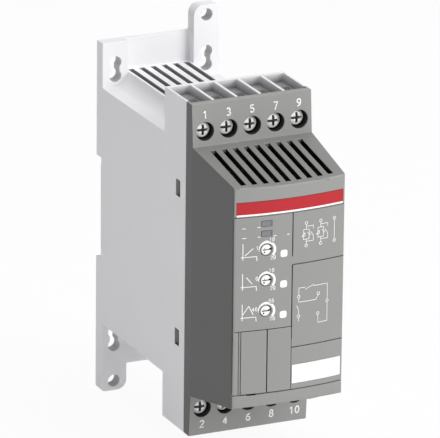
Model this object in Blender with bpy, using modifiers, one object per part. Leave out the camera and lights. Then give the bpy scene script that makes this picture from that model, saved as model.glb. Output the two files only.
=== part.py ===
"""Compact three-phase soft starter for a 35 mm rail.

A light rear housing with fixing ears, screwdriver coves, wire funnels and
vent slots carries a darker front housing with a crowned face. Ten rising-cage
screw terminals, three setting dials, a pull-off connector cover and a sprung
rail latch are the pieces that move.

Metres, +Z up, X to the right, front towards -Y. The origin is the centre of
the face that seats on the rail.
"""

import math

import bmesh
import bpy
from mathutils import Matrix, Vector

MM = 0.001

# Overall sizes
BODY_WIDTH = 45.0 * MM
FULL_HEIGHT = 140.0 * MM
EAR_RISE = 9.65 * MM
DEPTH = 114.0 * MM
NOSE_DEPTH = 38.0 * MM
GAP = 0.3 * MM
WALL = 1.6 * MM

# Rail seat in the rear face
RAIL_DEPTH = 4.0 * MM
RAIL_HEIGHT = 35.0 * MM
RAIL_FLANGE = 1.0 * MM
RAIL_TOP_PLAY = 0.5 * MM
LATCH_ROOM = 2.3 * MM
HOOK_WIDTH = 8.0 * MM
HOOK_X = 11.0 * MM
HOOK_REACH = 1.3 * MM
SEAT_MARGIN = 0.2 * MM
SEAT_RELIEF = 0.2 * MM

# Rear plate, ears and their holes
PLATE_THICKNESS = 5.1 * MM
PLATE_THIN = 1.5 * MM
EAR_WIDTH = 9.9 * MM
EAR_INNER_RADIUS = 3.5 * MM
EAR_OUTER_RADIUS = 1.5 * MM
HOLE_DIAMETER = 4.5 * MM
HOLE_STEP = 5.0 * MM
HOLE_NECK = 3.2 * MM
HOLE_INSET = 7.45 * MM
EAR_HOLE_INSET = 3.6 * MM

# Rear section with its coves and roof slots
TERMINAL_BLOCK_DEPTH = 17.8 * MM
ROOF_DROP = 11.35 * MM
COVE_RADIUS = 5.0 * MM
ROOF_SLOTS = 6
ROOF_SLOT_WIDTH = 1.8 * MM
ROOF_SLOT_SIDE = 0.95 * MM
ROOF_SLOT_START = 2.7 * MM
ROOF_SLOT_END_WALL = 3.2 * MM
REAR_WALL = 2.6 * MM
WINDOW_FROM_SPLIT = 6.1 * MM
WINDOW_SIZE_Y = 3.6 * MM
WINDOW_SIZE_Z = 6.0 * MM

# Terminals, one row along the top and one along the bottom
POLES = 5
OUTER_WALL = 0.9 * MM
DIVIDER = 1.05 * MM
POCKET_FLOOR = 3.35 * MM
FUNNEL_LENGTH = 9.0 * MM
FUNNEL_WIDTH = 7.0 * MM
WIRE_HOLE = 3.8 * MM
SCREW_DROP = 9.95 * MM
SCREW_HEAD_DIAMETER = 5.5 * MM
SCREW_HEAD_HEIGHT = 1.8 * MM
SCREW_DIAMETER = 3.0 * MM
SCREW_RECESS = 2.0 * MM
ACCESS_DIAMETER = 6.6 * MM
SHANK_PLAY = 0.3 * MM
THREAD_PLAY = 0.2 * MM
POCKET_FRONT_WALL = 2.6 * MM
SHELF_THICKNESS = 1.2 * MM
CAGE_HEIGHT = 6.4 * MM
CAGE_WALL = 1.0 * MM
CAGE_TRAVEL = 2.5 * MM
BAR_THICKNESS = 0.8 * MM
BAR_PLAY = 0.4 * MM
BAR_FOOT_DROP = 11.4 * MM

# Front housing
FACE_TOP_SET = 4.7 * MM
FACE_LEAN = 1.1 * MM
SHOULDER_DROP = 15.1 * MM
NOSE_SLOPE_DROP = 5.6 * MM
NOSE_SIDE_TAPER = 1.7 * MM
FRONT_CROWN_RADIUS = 110.0 * MM
FRONT_EDGE_RADIUS = 0.8 * MM
FRONT_WALL = 2.4 * MM
NOSE_SLOTS = 9
NOSE_SLOT_WIDTH = 1.95 * MM
NOSE_SLOT_SIDE = 3.55 * MM
NOSE_SLOT_SHIFT = -0.25 * MM
NOSE_SLOT_REAR_SET = 3.2 * MM
NOSE_SLOT_FRONT_SET = 2.5 * MM
BOSS_WALL = 0.8 * MM

# Sizes of the features on the front face
SEAM_WIDTH = 0.3 * MM
SEAM_DEPTH = 0.7 * MM
CENTRE_SEAM_X = 0.4 * MM
SEAM_BRIDGE = 3.0 * MM
FINE_SEAM_WIDTH = 0.2 * MM
FINE_SEAM_DEPTH = 0.3 * MM
STRIP_HEIGHT = 5.1 * MM
STRIP_THICKNESS = 0.6 * MM
STRIP_OVER_SEAM = 0.2 * MM
MARKER_HEIGHT = 7.0 * MM
MARKER_THICKNESS = 0.8 * MM
INLAY_PLAY = 0.1 * MM
DIAL_DIAMETER = 3.7 * MM
DIAL_PLAY = 0.35 * MM
DIAL_STAND = 0.1 * MM
GUIDE_WIDTH = 3.6 * MM
GUIDE_HEIGHT = 1.9 * MM
GUIDE_PLAY = 0.15 * MM
COVER_THICKNESS = 1.2 * MM
COVER_PLAY = 0.15 * MM
COVER_OVER_SEAM = 0.25 * MM
COVER_LEDGE = 1.0 * MM
COVER_RIM = 0.8 * MM
COVER_LEG = 0.9 * MM
COVER_LEG_LENGTH = 3.2 * MM
PRY_WIDTH = 3.3 * MM
PRY_HEIGHT = 0.6 * MM

# Layout of the front face, as shares of the nose's half height and half width
TITLE_SEAM_SHARE = 0.7364
UPPER_SEAM_SHARE = 0.2623
LOWER_SEAM_SHARE = -0.4918
FOOT_SEAM_SHARE = -0.8802
MARKER_LOW_SHARE = -0.8285
GUIDE_UPPER_SHARE = 0.6633
GUIDE_PITCH_SHARE = 0.0895
DIAL_TOP_SHARE = 0.4262
DIAL_PITCH_SHARE = 0.2774
TRIMMER_SHARE = 0.58
COVER_TOP_SHARE = -0.3001
SETTING_SHARE = -0.4423
COVER_LEFT_SHARE = -0.8582
COVER_SPLIT_SHARE = -0.412
PRY_SHARE = -0.6683
WINDOW_SHARE = 0.4507

# Boards and what they carry
BOARD = 1.6 * MM
CONTROL_BOARD_SET = 11.5 * MM
POWER_BOARD_SET = 4.1 * MM
LED_HEIGHT = 1.0 * MM
CONNECTOR_PLAY = 0.575 * MM
CONNECTOR_HEIGHT = 8.0 * MM
CONNECTOR_DEPTH = 3.0 * MM
CONNECTOR_WALL = 0.8 * MM
PIN_WIDTH = 0.6 * MM
PIN_ROW_SPACING = 2.8 * MM
PIN_COLUMNS = 5
LANE_PLAY = 0.84 * MM
RISER_HEIGHT = 24.0 * MM
MODULE_THICKNESS = 4.8 * MM
MODULE_HEIGHT = 24.0 * MM
MODULE_MIDDLE_GAP = 2.4 * MM
MODULE_SIDE_ROOM = 3.7 * MM
SINK_BASE = 4.0 * MM
SINK_FIN = 1.3 * MM
SINK_FINS = 9
RELAY_HEIGHT = 24.0 * MM
RELAY_DEPTH = 15.5 * MM
TRANSFORMER_HEIGHT = 17.0 * MM
TRANSFORMER_DEPTH = 14.0 * MM
TRANSFORMER_SIDE_ROOM = 2.0 * MM
CAPACITOR_LENGTH = 16.0 * MM
CAPACITOR_GROOVE = 0.3 * MM
CAPACITOR_GROOVE_SET = 2.5 * MM

# Rail latch and its spring
LATCH_WIDTH = 10.0 * MM
LATCH_WING = 2.5 * MM
LATCH_WING_THICKNESS = 0.8 * MM
LATCH_THICKNESS = 2.4 * MM
LATCH_BITE = 1.5 * MM
LATCH_NOSE = 0.4 * MM
SPRING_RADIUS = 0.95 * MM
SPRING_WIRE = 0.22 * MM
SPRING_LENGTH = 13.0 * MM
SPRING_TURNS = 7
SPRING_TOP_Z = -30.0 * MM
LUG_THICKNESS = 1.6 * MM

# Planes and places that follow from the sizes
HALF_WIDTH = BODY_WIDTH / 2
HALF_HEIGHT = FULL_HEIGHT / 2 - EAR_RISE
REAR_Y = RAIL_DEPTH
FRONT_Y = REAR_Y - DEPTH
PLATE_FRONT_Y = REAR_Y - PLATE_THICKNESS
SPLIT_Y = FRONT_Y + NOSE_DEPTH
BLOCK_BACK_Y = SPLIT_Y + TERMINAL_BLOCK_DEPTH
EAR_INNER_X = HALF_WIDTH - EAR_WIDTH
HOLE_X = HALF_WIDTH - EAR_WIDTH / 2
HOLE_Z = HALF_HEIGHT - HOLE_INSET
ROOF_Z = HALF_HEIGHT - ROOF_DROP
COVE_FLOOR_Z = ROOF_Z - COVE_RADIUS
CAVITY_X = HALF_WIDTH - WALL
CAVITY_Z = COVE_FLOOR_Z - WALL
CAVITY_REAR_Y = -REAR_WALL
RAIL_TOP_Z = RAIL_HEIGHT / 2 + RAIL_TOP_PLAY
RAIL_LOW_Z = -RAIL_HEIGHT / 2 - LATCH_ROOM
SEAT_HALF = RAIL_HEIGHT / 2 - max(HOOK_REACH, LATCH_BITE) - SEAT_MARGIN
ROOF_SLOT_PITCH = (2 * (EAR_INNER_X - ROOF_SLOT_SIDE) - ROOF_SLOT_WIDTH) / (ROOF_SLOTS - 1)
POCKET_WIDTH = (BODY_WIDTH - 2 * OUTER_WALL - (POLES - 1) * DIVIDER) / POLES
POLE_PITCH = POCKET_WIDTH + DIVIDER
SCREW_Z = HALF_HEIGHT - SCREW_DROP
FLOOR_Z = HALF_HEIGHT - POCKET_FLOOR
FACE_TOP_Y = SPLIT_Y - FACE_TOP_SET
FACE_LOW_Y = FACE_TOP_Y - FACE_LEAN
SHOULDER_Z = HALF_HEIGHT - SHOULDER_DROP
NOSE_FRONT_Z = SHOULDER_Z - NOSE_SLOPE_DROP
NOSE_HALF_WIDTH = HALF_WIDTH - NOSE_SIDE_TAPER
SCREW_FACE_SHARE = SCREW_DROP / SHOULDER_DROP
SCREW_HEAD_Y = FACE_TOP_Y - FACE_LEAN * SCREW_FACE_SHARE + SCREW_RECESS
CAGE_FRONT_Y = SPLIT_Y + GAP + CAGE_TRAVEL
CAGE_INSIDE = GAP + BAR_THICKNESS + WIRE_HOLE
CAGE_BACK_Y = CAGE_FRONT_Y + CAGE_INSIDE + 2 * CAGE_WALL
CAGE_WIDTH = POCKET_WIDTH - 2 * GAP
BAR_WIDTH = CAGE_WIDTH - 2 * CAGE_WALL - 2 * BAR_PLAY
BAR_FRONT_Y = CAGE_FRONT_Y + CAGE_WALL + GAP
BAR_BACK_Y = BAR_FRONT_Y + BAR_THICKNESS
WIRE_Y = BAR_BACK_Y + WIRE_HOLE / 2
CELL_LOW_Z = SCREW_Z - CAGE_HEIGHT / 2 - GAP
CELL_TOP_Z = SCREW_Z + CAGE_HEIGHT / 2 + GAP
BAR_FOOT_Z = SCREW_Z - BAR_FOOT_DROP
RELAY_TOP_Z = BAR_FOOT_Z - 2 * WALL
RELAY_LOW_Z = RELAY_TOP_Z - RELAY_HEIGHT
POWER_BOARD_Y = BAR_BACK_Y + POWER_BOARD_SET
MODULE_BACK_Y = POWER_BOARD_Y + BOARD + GAP + MODULE_THICKNESS
SINK_FRONT_Y = MODULE_BACK_Y + GAP
CONTROL_BOARD_Y = FRONT_Y + CONTROL_BOARD_SET
NOSE_SLOT_PITCH = (2 * (NOSE_HALF_WIDTH - NOSE_SLOT_SIDE) - NOSE_SLOT_WIDTH) / (NOSE_SLOTS - 1)
SEAT_X = NOSE_HALF_WIDTH - FRONT_EDGE_RADIUS
WINDOW_Z = WINDOW_SHARE * HALF_HEIGHT

# Places on the front face, X to the right and Z up from the rail's centre line
TITLE_SEAM_Z = TITLE_SEAM_SHARE * NOSE_FRONT_Z
UPPER_SEAM_Z = UPPER_SEAM_SHARE * NOSE_FRONT_Z
LOWER_SEAM_Z = LOWER_SEAM_SHARE * NOSE_FRONT_Z
FOOT_SEAM_Z = FOOT_SEAM_SHARE * NOSE_FRONT_Z
STRIP_LOW_Z = TITLE_SEAM_Z + STRIP_OVER_SEAM
MARKER_LOW_Z = MARKER_LOW_SHARE * NOSE_FRONT_Z
SETTING_X = SETTING_SHARE * NOSE_HALF_WIDTH
GUIDE_UPPER_Z = GUIDE_UPPER_SHARE * NOSE_FRONT_Z
GUIDE_PITCH = GUIDE_PITCH_SHARE * NOSE_FRONT_Z
DIAL_TOP_Z = DIAL_TOP_SHARE * NOSE_FRONT_Z
DIAL_PITCH = DIAL_PITCH_SHARE * NOSE_FRONT_Z
TRIMMER_SIZE = TRIMMER_SHARE * DIAL_PITCH
COVER_LEFT_X = COVER_LEFT_SHARE * NOSE_HALF_WIDTH
COVER_RIGHT_X = CENTRE_SEAM_X - INLAY_PLAY
COVER_SPLIT_X = COVER_SPLIT_SHARE * NOSE_HALF_WIDTH
COVER_TOP_Z = COVER_TOP_SHARE * NOSE_FRONT_Z
COVER_LOW_Z = FOOT_SEAM_Z + COVER_OVER_SEAM
PRY_CENTRE_X = PRY_SHARE * NOSE_HALF_WIDTH


def crown_y(x, radius=FRONT_CROWN_RADIUS, apex=FRONT_Y):
    """Y of the crowned front at a distance x from the middle."""
    return apex + radius - math.sqrt(radius * radius - x * x)


def start_scene():
    for old in list(bpy.data.objects):
        bpy.data.objects.remove(old, do_unlink=True)
    root = bpy.context.scene.collection
    parts = bpy.data.collections.new("soft_starter")
    cutters = bpy.data.collections.new("cutters")
    root.children.link(parts)
    root.children.link(cutters)
    return parts, cutters


PARTS, CUTTERS = start_scene()


def plain_material(name, colour, roughness, metallic=0.0):
    made = bpy.data.materials.new(name)
    made.use_nodes = True
    shader = made.node_tree.nodes["Principled BSDF"]
    shader.inputs["Base Color"].default_value = (*colour, 1.0)
    shader.inputs["Roughness"].default_value = roughness
    shader.inputs["Metallic"].default_value = metallic
    made.diffuse_color = (*colour, 1.0)
    return made


MATERIALS = {
    "light_plastic": plain_material("light_plastic", (0.78, 0.78, 0.79), 0.45),
    "grey_plastic": plain_material("grey_plastic", (0.30, 0.30, 0.29), 0.5),
    "strip_red": plain_material("strip_red", (0.62, 0.04, 0.05), 0.4),
    "marker_white": plain_material("marker_white", (0.92, 0.92, 0.92), 0.4),
    "dial_white": plain_material("dial_white", (0.85, 0.85, 0.85), 0.4),
    "trimmer_blue": plain_material("trimmer_blue", (0.08, 0.16, 0.4), 0.45),
    "guide_clear": plain_material("guide_clear", (0.35, 0.38, 0.42), 0.2),
    "board_green": plain_material("board_green", (0.05, 0.22, 0.09), 0.5),
    "black_plastic": plain_material("black_plastic", (0.03, 0.03, 0.03), 0.5),
    "relay_case": plain_material("relay_case", (0.08, 0.09, 0.11), 0.4),
    "zinc_steel": plain_material("zinc_steel", (0.75, 0.75, 0.74), 0.25, 1.0),
    "tin_copper": plain_material("tin_copper", (0.72, 0.69, 0.64), 0.3, 1.0),
    "aluminium": plain_material("aluminium", (0.7, 0.71, 0.72), 0.4, 1.0),
    "ferrite": plain_material("ferrite", (0.12, 0.11, 0.11), 0.6),
    "led_epoxy": plain_material("led_epoxy", (0.6, 0.65, 0.5), 0.3),
}


def mesh_object(name, bm, group=CUTTERS):
    mesh = bpy.data.meshes.new(name)
    bm.to_mesh(mesh)
    bm.free()
    obj = bpy.data.objects.new(name, mesh)
    group.objects.link(obj)
    if group is CUTTERS:
        hide_cutter(obj)
    return obj


def hide_cutter(obj):
    obj.hide_render = True
    obj.display_type = "WIRE"


def as_part(obj, material):
    """Moves a finished piece into the parts and gives it its material."""
    for group in list(obj.users_collection):
        group.objects.unlink(obj)
    PARTS.objects.link(obj)
    obj.hide_render = False
    obj.display_type = "TEXTURED"
    obj.data.materials.clear()
    obj.data.materials.append(MATERIALS[material])
    return obj


def box(name, x, y, z):
    """Box between the low and high values given for each axis."""
    bm = bmesh.new()
    bmesh.ops.create_cube(bm, size=1.0)
    middle = Vector([(span[0] + span[1]) / 2 for span in (x, y, z)])
    size = [span[1] - span[0] for span in (x, y, z)]
    bmesh.ops.scale(bm, verts=bm.verts, vec=size)
    bmesh.ops.translate(bm, verts=bm.verts, vec=middle)
    return mesh_object(name, bm)


def cylinder_y(name, radius, centre, y, segments=32):
    """Round bar along Y about centre, an (x, z) pair."""
    bm = bmesh.new()
    place = Matrix.Translation((centre[0], (y[0] + y[1]) / 2, centre[1]))
    turn = Matrix.Rotation(math.pi / 2, 4, "X")
    bmesh.ops.create_cone(bm, cap_ends=True, segments=segments, radius1=radius,
                          radius2=radius, depth=y[1] - y[0], matrix=place @ turn)
    return mesh_object(name, bm)


# How an outline's two directions and its draw direction map to X, Y and Z
DRAW = {
    "Z": Matrix.Identity(4),
    "Y": Matrix.Rotation(math.pi / 2, 4, "X"),
    "X": Matrix(((0, 0, 1, 0), (1, 0, 0, 0), (0, 1, 0, 0), (0, 0, 0, 1))),
}
AXIS = {"X": Vector((1, 0, 0)), "Y": Vector((0, 1, 0)), "Z": Vector((0, 0, 1))}


def prism(name, outline, axis, span):
    """Flat outline drawn out along an axis. Outline pairs are (y, z), (x, z) or (x, y)."""
    curve = bpy.data.curves.new(name, "CURVE")
    curve.dimensions = "2D"
    curve.fill_mode = "BOTH"
    curve.extrude = (span[1] - span[0]) / 2
    spline = curve.splines.new("POLY")
    spline.points.add(len(outline) - 1)
    for point, pair in zip(spline.points, outline):
        point.co = (pair[0], pair[1], 0.0, 1.0)
    spline.use_cyclic_u = True
    sketch = bpy.data.objects.new(name + "_sketch", curve)
    sketch.matrix_world = Matrix.Translation(AXIS[axis] * (span[0] + span[1]) / 2) @ DRAW[axis]
    return curve_to_mesh(sketch, name)


def curve_to_mesh(sketch, name):
    """Mesh object of a curve object, with its caps welded."""
    CUTTERS.objects.link(sketch)
    bpy.context.view_layer.update()
    seen = sketch.evaluated_get(bpy.context.evaluated_depsgraph_get())
    mesh = bpy.data.meshes.new_from_object(seen)
    place = sketch.matrix_world.copy()
    bpy.data.objects.remove(sketch, do_unlink=True)
    bm = bmesh.new()
    bm.from_mesh(mesh)
    bmesh.ops.remove_doubles(bm, verts=bm.verts, dist=0.001 * MM)
    bmesh.ops.dissolve_limit(bm, angle_limit=math.radians(0.5), verts=bm.verts, edges=bm.edges)
    bmesh.ops.transform(bm, matrix=place, verts=bm.verts)
    bmesh.ops.recalc_face_normals(bm, faces=bm.faces)
    bpy.data.meshes.remove(mesh)
    return mesh_object(name, bm)


def together(name, pieces):
    """One cutter made of several bodies that don't touch."""
    bm = bmesh.new()
    for piece in pieces:
        bm.from_mesh(piece.data)
        bpy.data.objects.remove(piece, do_unlink=True)
    return mesh_object(name, bm)


def boolean(target, tool, operation):
    step = target.modifiers.new(tool.name, "BOOLEAN")
    step.object = tool
    step.operation = operation
    step.solver = "EXACT"
    return target


def cut(target, tool):
    return boolean(target, tool, "DIFFERENCE")


def add(target, tool):
    return boolean(target, tool, "UNION")


def settle(obj):
    """Applies an object's modifiers, so that copies can share its mesh."""
    tools = [step.object for step in obj.modifiers if step.type == "BOOLEAN"]
    bpy.context.view_layer.update()
    seen = obj.evaluated_get(bpy.context.evaluated_depsgraph_get())
    mesh = bpy.data.meshes.new_from_object(seen)
    obj.modifiers.clear()
    obj.data = mesh
    for tool in tools:
        bpy.data.objects.remove(tool, do_unlink=True)
    return obj


def copy_at(master, name, place, material):
    twin = bpy.data.objects.new(name, master.data)
    twin.matrix_world = place
    CUTTERS.objects.link(twin)
    return as_part(twin, material)


def origin_at(obj, point):
    """Puts a piece's origin at a point without moving its shape."""
    obj.data.transform(Matrix.Translation(-Vector(point)))
    obj.location = point
    return obj


def round_edges(obj, width, picked, segments=3):
    """Rounds the edges whose two ends both pass the test picked."""
    bm = bmesh.new()
    bm.from_mesh(obj.data)
    edges = [edge for edge in bm.edges if picked(edge.verts[0].co, edge.verts[1].co)]
    bmesh.ops.bevel(bm, geom=edges, offset=width, offset_type="OFFSET", segments=segments,
                    profile=0.5, affect="EDGES", clamp_overlap=True)
    bm.to_mesh(obj.data)
    bm.free()
    return obj


def turned(name, profile, steps=24):
    """Turned piece about Z from (radius, height) pairs that run top to bottom."""
    bm = bmesh.new()
    ring = [bm.verts.new((radius, 0.0, height)) for radius, height in profile]
    for upper, lower in zip(ring, ring[1:]):
        bm.edges.new((upper, lower))
    obj = mesh_object(name, bm)
    spin = obj.modifiers.new("turn", "SCREW")
    spin.axis = "Z"
    spin.angle = math.tau
    spin.steps = steps
    spin.render_steps = steps
    spin.use_merge_vertices = True
    spin.merge_threshold = 0.001 * MM
    return obj


def arc(centre, radius, start, end, steps):
    """Points of an arc, with its angles in degrees."""
    points = []
    for i in range(steps + 1):
        angle = math.radians(start + (end - start) * i / steps)
        points.append((centre[0] + radius * math.cos(angle), centre[1] + radius * math.sin(angle)))
    return points


def mirror_pairs(points):
    """The points with their first value negated, in the opposite order."""
    return [(-a, b) for a, b in reversed(points)]


def pole_x(index):
    return (index - (POLES - 1) / 2) * POLE_PITCH


def both_rows():
    """Row sign, and first terminal number, of the top and bottom rows."""
    return ((1, 1), (-1, 2))


def spans(sign, low, high):
    """Z span of a feature that the two rows mirror."""
    return (low, high) if sign > 0 else (-high, -low)


def plate_outline():
    """Rear plate with a tall ear at the top right and one at the bottom left."""
    inner = EAR_INNER_RADIUS
    outer = EAR_OUTER_RADIUS
    tall = FULL_HEIGHT / 2
    upper = arc((HALF_WIDTH - outer, tall - outer), outer, 0, 90, 3)
    upper += arc((EAR_INNER_X + inner, tall - inner), inner, 90, 180, 5)
    upper += [(EAR_INNER_X, HALF_HEIGHT), (-HALF_WIDTH, HALF_HEIGHT)]
    return upper + [(-x, -z) for x, z in upper]


def above_roof_outline(sign):
    """Space above the roof and over the two coves."""
    side = arc((EAR_INNER_X + COVE_RADIUS, ROOF_Z), COVE_RADIUS, 180, 270, 6)
    side += [(2 * HALF_WIDTH, COVE_FLOOR_Z), (2 * HALF_WIDTH, FULL_HEIGHT)]
    outline = mirror_pairs(side) + side
    return [(x, sign * z) for x, z in outline]


def eared_block():
    """Outer form of the rear housing."""
    block = prism("base_housing", plate_outline(), "Y", (SPLIT_Y, REAR_Y))
    for sign, _ in both_rows():
        cut(block, prism("roof_relief", above_roof_outline(sign), "Y", (BLOCK_BACK_Y, PLATE_FRONT_Y)))
        cut(block, box("over_block", (-BODY_WIDTH, BODY_WIDTH), (2 * SPLIT_Y, BLOCK_BACK_Y + WALL),
                       spans(sign, HALF_HEIGHT, FULL_HEIGHT)))
    cut(block, box("chimney", (-EAR_INNER_X, EAR_INNER_X), (PLATE_FRONT_Y - WALL, REAR_Y - PLATE_THIN),
                   (ROOF_Z, FULL_HEIGHT)))
    return block


def ear_holes():
    """Keyhole pairs in the four corners and one hole in each tall ear."""
    radius = HOLE_DIAMETER / 2
    through = (PLATE_FRONT_Y - WALL, REAR_Y + WALL)
    holes = []
    for side in (-1, 1):
        for sign in (-1, 1):
            outer_z = sign * HOLE_Z
            inner_z = sign * (HOLE_Z - HOLE_STEP)
            slot = cylinder_y("slot", radius, (side * HOLE_X, outer_z), through, 24)
            add(slot, cylinder_y("slot_end", radius, (side * HOLE_X, inner_z), through, 24))
            add(slot, box("slot_neck", (side * HOLE_X - HOLE_NECK / 2, side * HOLE_X + HOLE_NECK / 2),
                          (through[0] - GAP, through[1] + GAP), sorted((inner_z, outer_z))))
            holes.append(settle(slot))
    for side in (-1, 1):
        ear_z = side * (FULL_HEIGHT / 2 - EAR_HOLE_INSET)
        holes.append(cylinder_y("ear_hole", radius, (side * HOLE_X, ear_z), through, 24))
    return together("fixing_holes", holes)


def rail_channel():
    """Space for the rail, with its seat between the reliefs and the two fixed hooks left standing."""
    channel = box("rail_channel", (-BODY_WIDTH, BODY_WIDTH), (0.0, 2 * REAR_Y), (RAIL_LOW_Z, RAIL_TOP_Z))
    for low, high in ((RAIL_LOW_Z, -SEAT_HALF), (SEAT_HALF, RAIL_TOP_Z)):
        add(channel, box("seat_relief", (-HALF_WIDTH - GAP, HALF_WIDTH + GAP), (-SEAT_RELIEF, SEAT_RELIEF),
                         (low, high)))
    hook_low = RAIL_HEIGHT / 2 - HOOK_REACH
    for side in (-1, 1):
        hook = box("rail_hook", (side * HOOK_X - HOOK_WIDTH / 2, side * HOOK_X + HOOK_WIDTH / 2),
                   (RAIL_FLANGE + GAP, 3 * REAR_Y), (hook_low, 2 * RAIL_HEIGHT))
        cut(channel, hook)
    return settle(channel)


def latch_channel():
    """Guide for the rail latch: a T-shaped channel and a pocket for its spring."""
    foot = -2 * HALF_HEIGHT
    half = LATCH_WIDTH / 2 + GAP
    wide = half + LATCH_WING
    wing_y = (RAIL_FLANGE, RAIL_FLANGE + LATCH_WING_THICKNESS + 2 * GAP)
    guide = box("latch_guide", (-wide, wide), wing_y, (foot, RAIL_LOW_Z + WALL))
    add(guide, box("latch_mouth", (-half, half), (wing_y[0] + GAP, 2 * REAR_Y),
                   (foot - WALL, RAIL_LOW_Z + 2 * WALL)))
    pocket = SPRING_RADIUS + SPRING_WIRE + GAP
    top = SPRING_TOP_Z + LUG_THICKNESS + 2 * GAP
    add(guide, box("spring_pocket", (-pocket, pocket), (spring_y() - pocket, wing_y[0] + GAP),
                   (SPRING_TOP_Z - SPRING_LENGTH - 2 * GAP, top)))
    return settle(guide)


def spring_y():
    """Y of the latch spring's axis, which clears the latch's face."""
    return RAIL_FLANGE - SPRING_RADIUS - SPRING_WIRE


def roof_slots():
    slots = []
    low = CAVITY_Z - WALL
    for sign, _ in both_rows():
        for i in range(ROOF_SLOTS):
            x = (i - (ROOF_SLOTS - 1) / 2) * ROOF_SLOT_PITCH
            slots.append(box("roof_slot", (x - ROOF_SLOT_WIDTH / 2, x + ROOF_SLOT_WIDTH / 2),
                             (BLOCK_BACK_Y + ROOF_SLOT_END_WALL, slot_rear_y(sign)),
                             spans(sign, low, HALF_HEIGHT)))
    return together("roof_slots", slots)


def slot_rear_y(sign):
    """The top slots run back to the thin plate, the bottom ones to the thick plate."""
    return REAR_Y - ROOF_SLOT_START if sign > 0 else PLATE_FRONT_Y - GAP


def base_cavity():
    """Inside of the rear housing, open at the front."""
    roof_in = ROOF_Z - WALL
    roof_x = EAR_INNER_X - WALL
    room = box("base_room", (-CAVITY_X, CAVITY_X), (2 * SPLIT_Y, CAVITY_REAR_Y), (-CAVITY_Z, CAVITY_Z))
    add(room, box("roof_room", (-roof_x, roof_x), (BLOCK_BACK_Y + WALL, CAVITY_REAR_Y - GAP),
                  (-roof_in, roof_in)))
    core_z = (RAIL_TOP_Z + WALL, CAVITY_Z - GAP)
    core_y = (CAVITY_REAR_Y - WALL, PLATE_FRONT_Y + WALL)
    add(room, box("upper_core", (GAP - CAVITY_X, CAVITY_X - GAP), core_y, core_z))
    add(room, box("upper_roof_core", (GAP - roof_x, roof_x - GAP), core_y,
                  (core_z[0] + WALL, roof_in - GAP)))
    return settle(room)


def snap_windows():
    """Openings in the side walls for the front housing's snap tongues."""
    windows = []
    near = SPLIT_Y + WINDOW_FROM_SPLIT
    for side in (-1, 1):
        for z in (-WINDOW_Z, WINDOW_Z):
            x = sorted((side * (CAVITY_X - WALL), side * BODY_WIDTH))
            windows.append(box("snap_window", x, (near - WINDOW_SIZE_Y / 2, near + WINDOW_SIZE_Y / 2),
                               (z - WINDOW_SIZE_Z / 2, z + WINDOW_SIZE_Z / 2)))
    return together("snap_windows", windows)


def funnel(x, sign):
    """Tapered lead-in from a wire pocket down to its cage."""
    depth = FLOOR_Z - CELL_TOP_Z
    bm = bmesh.new()
    bmesh.ops.create_cube(bm, size=1.0)
    for vert in bm.verts:
        wide = vert.co.z > 0
        vert.co.x *= FUNNEL_WIDTH if wide else WIRE_HOLE
        vert.co.y *= FUNNEL_LENGTH if wide else WIRE_HOLE
        vert.co.z *= depth
    place = Matrix.Translation((x, WIRE_Y, sign * (CELL_TOP_Z + depth / 2)))
    bmesh.ops.transform(bm, matrix=place @ Matrix.Diagonal((1, 1, sign, 1)), verts=bm.verts)
    bmesh.ops.recalc_face_normals(bm, faces=bm.faces)
    return mesh_object("funnel", bm)


def wire_pockets():
    """Open-topped wire pockets with their funnels, cage cells and bar slots."""
    pockets = []
    half = POCKET_WIDTH / 2
    bar_half = BAR_WIDTH / 2 + GAP
    back_y = BLOCK_BACK_Y - WALL
    hole_half = WIRE_HOLE / 2
    for sign, _ in both_rows():
        for i in range(POLES):
            x = pole_x(i)
            pocket = box("wire_pocket", (x - half, x + half), (2 * SPLIT_Y, back_y),
                         spans(sign, FLOOR_Z, FULL_HEIGHT))
            add(pocket, funnel_with_overlap(x, sign))
            add(pocket, box("wire_way", (x - hole_half, x + hole_half),
                            (WIRE_Y - hole_half, WIRE_Y + hole_half), spans(sign, SCREW_Z, FLOOR_Z - GAP)))
            add(pocket, box("cage_cell", (x - half, x + half), (2 * SPLIT_Y, CAGE_BACK_Y + GAP),
                            spans(sign, CELL_LOW_Z, CELL_TOP_Z)))
            add(pocket, box("bar_slot", (x - bar_half, x + bar_half),
                            (BAR_FRONT_Y - GAP, BAR_BACK_Y + GAP), spans(sign, CAVITY_Z - WALL, SCREW_Z)))
            pockets.append(settle(pocket))
    return together("wire_pockets", pockets)


def funnel_with_overlap(x, sign):
    """The funnel, raised a little into its pocket so that the two cuts join."""
    piece = funnel(x, sign)
    for vert in piece.data.vertices:
        if abs(vert.co.z) > FLOOR_Z - GAP:
            vert.co.z += sign * GAP
    return piece


def pocket_front(sign):
    """Shelf and dividers that carry the wire pockets on into the front housing."""
    half = HALF_WIDTH - OUTER_WALL - GAP
    front_y = FACE_TOP_Y + POCKET_FRONT_WALL + GAP
    floor = FLOOR_Z - SHELF_THICKNESS
    comb = box("pocket_front", (-half, half), (front_y, SPLIT_Y + GAP), spans(sign, floor, FLOOR_Z))
    for i in range(POLES - 1):
        x = pole_x(i) + POLE_PITCH / 2
        add(comb, box("pocket_divider", (x - DIVIDER / 2, x + DIVIDER / 2), (front_y, SPLIT_Y + 2 * GAP),
                      spans(sign, floor + GAP, HALF_HEIGHT)))
    return settle(comb)


def build_base_housing():
    housing = eared_block()
    for tool in (ear_holes(), rail_channel(), latch_channel(), base_cavity(), roof_slots(),
                 snap_windows(), wire_pockets()):
        cut(housing, tool)
    for sign, _ in both_rows():
        add(housing, pocket_front(sign))
    return as_part(housing, "light_plastic")


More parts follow.
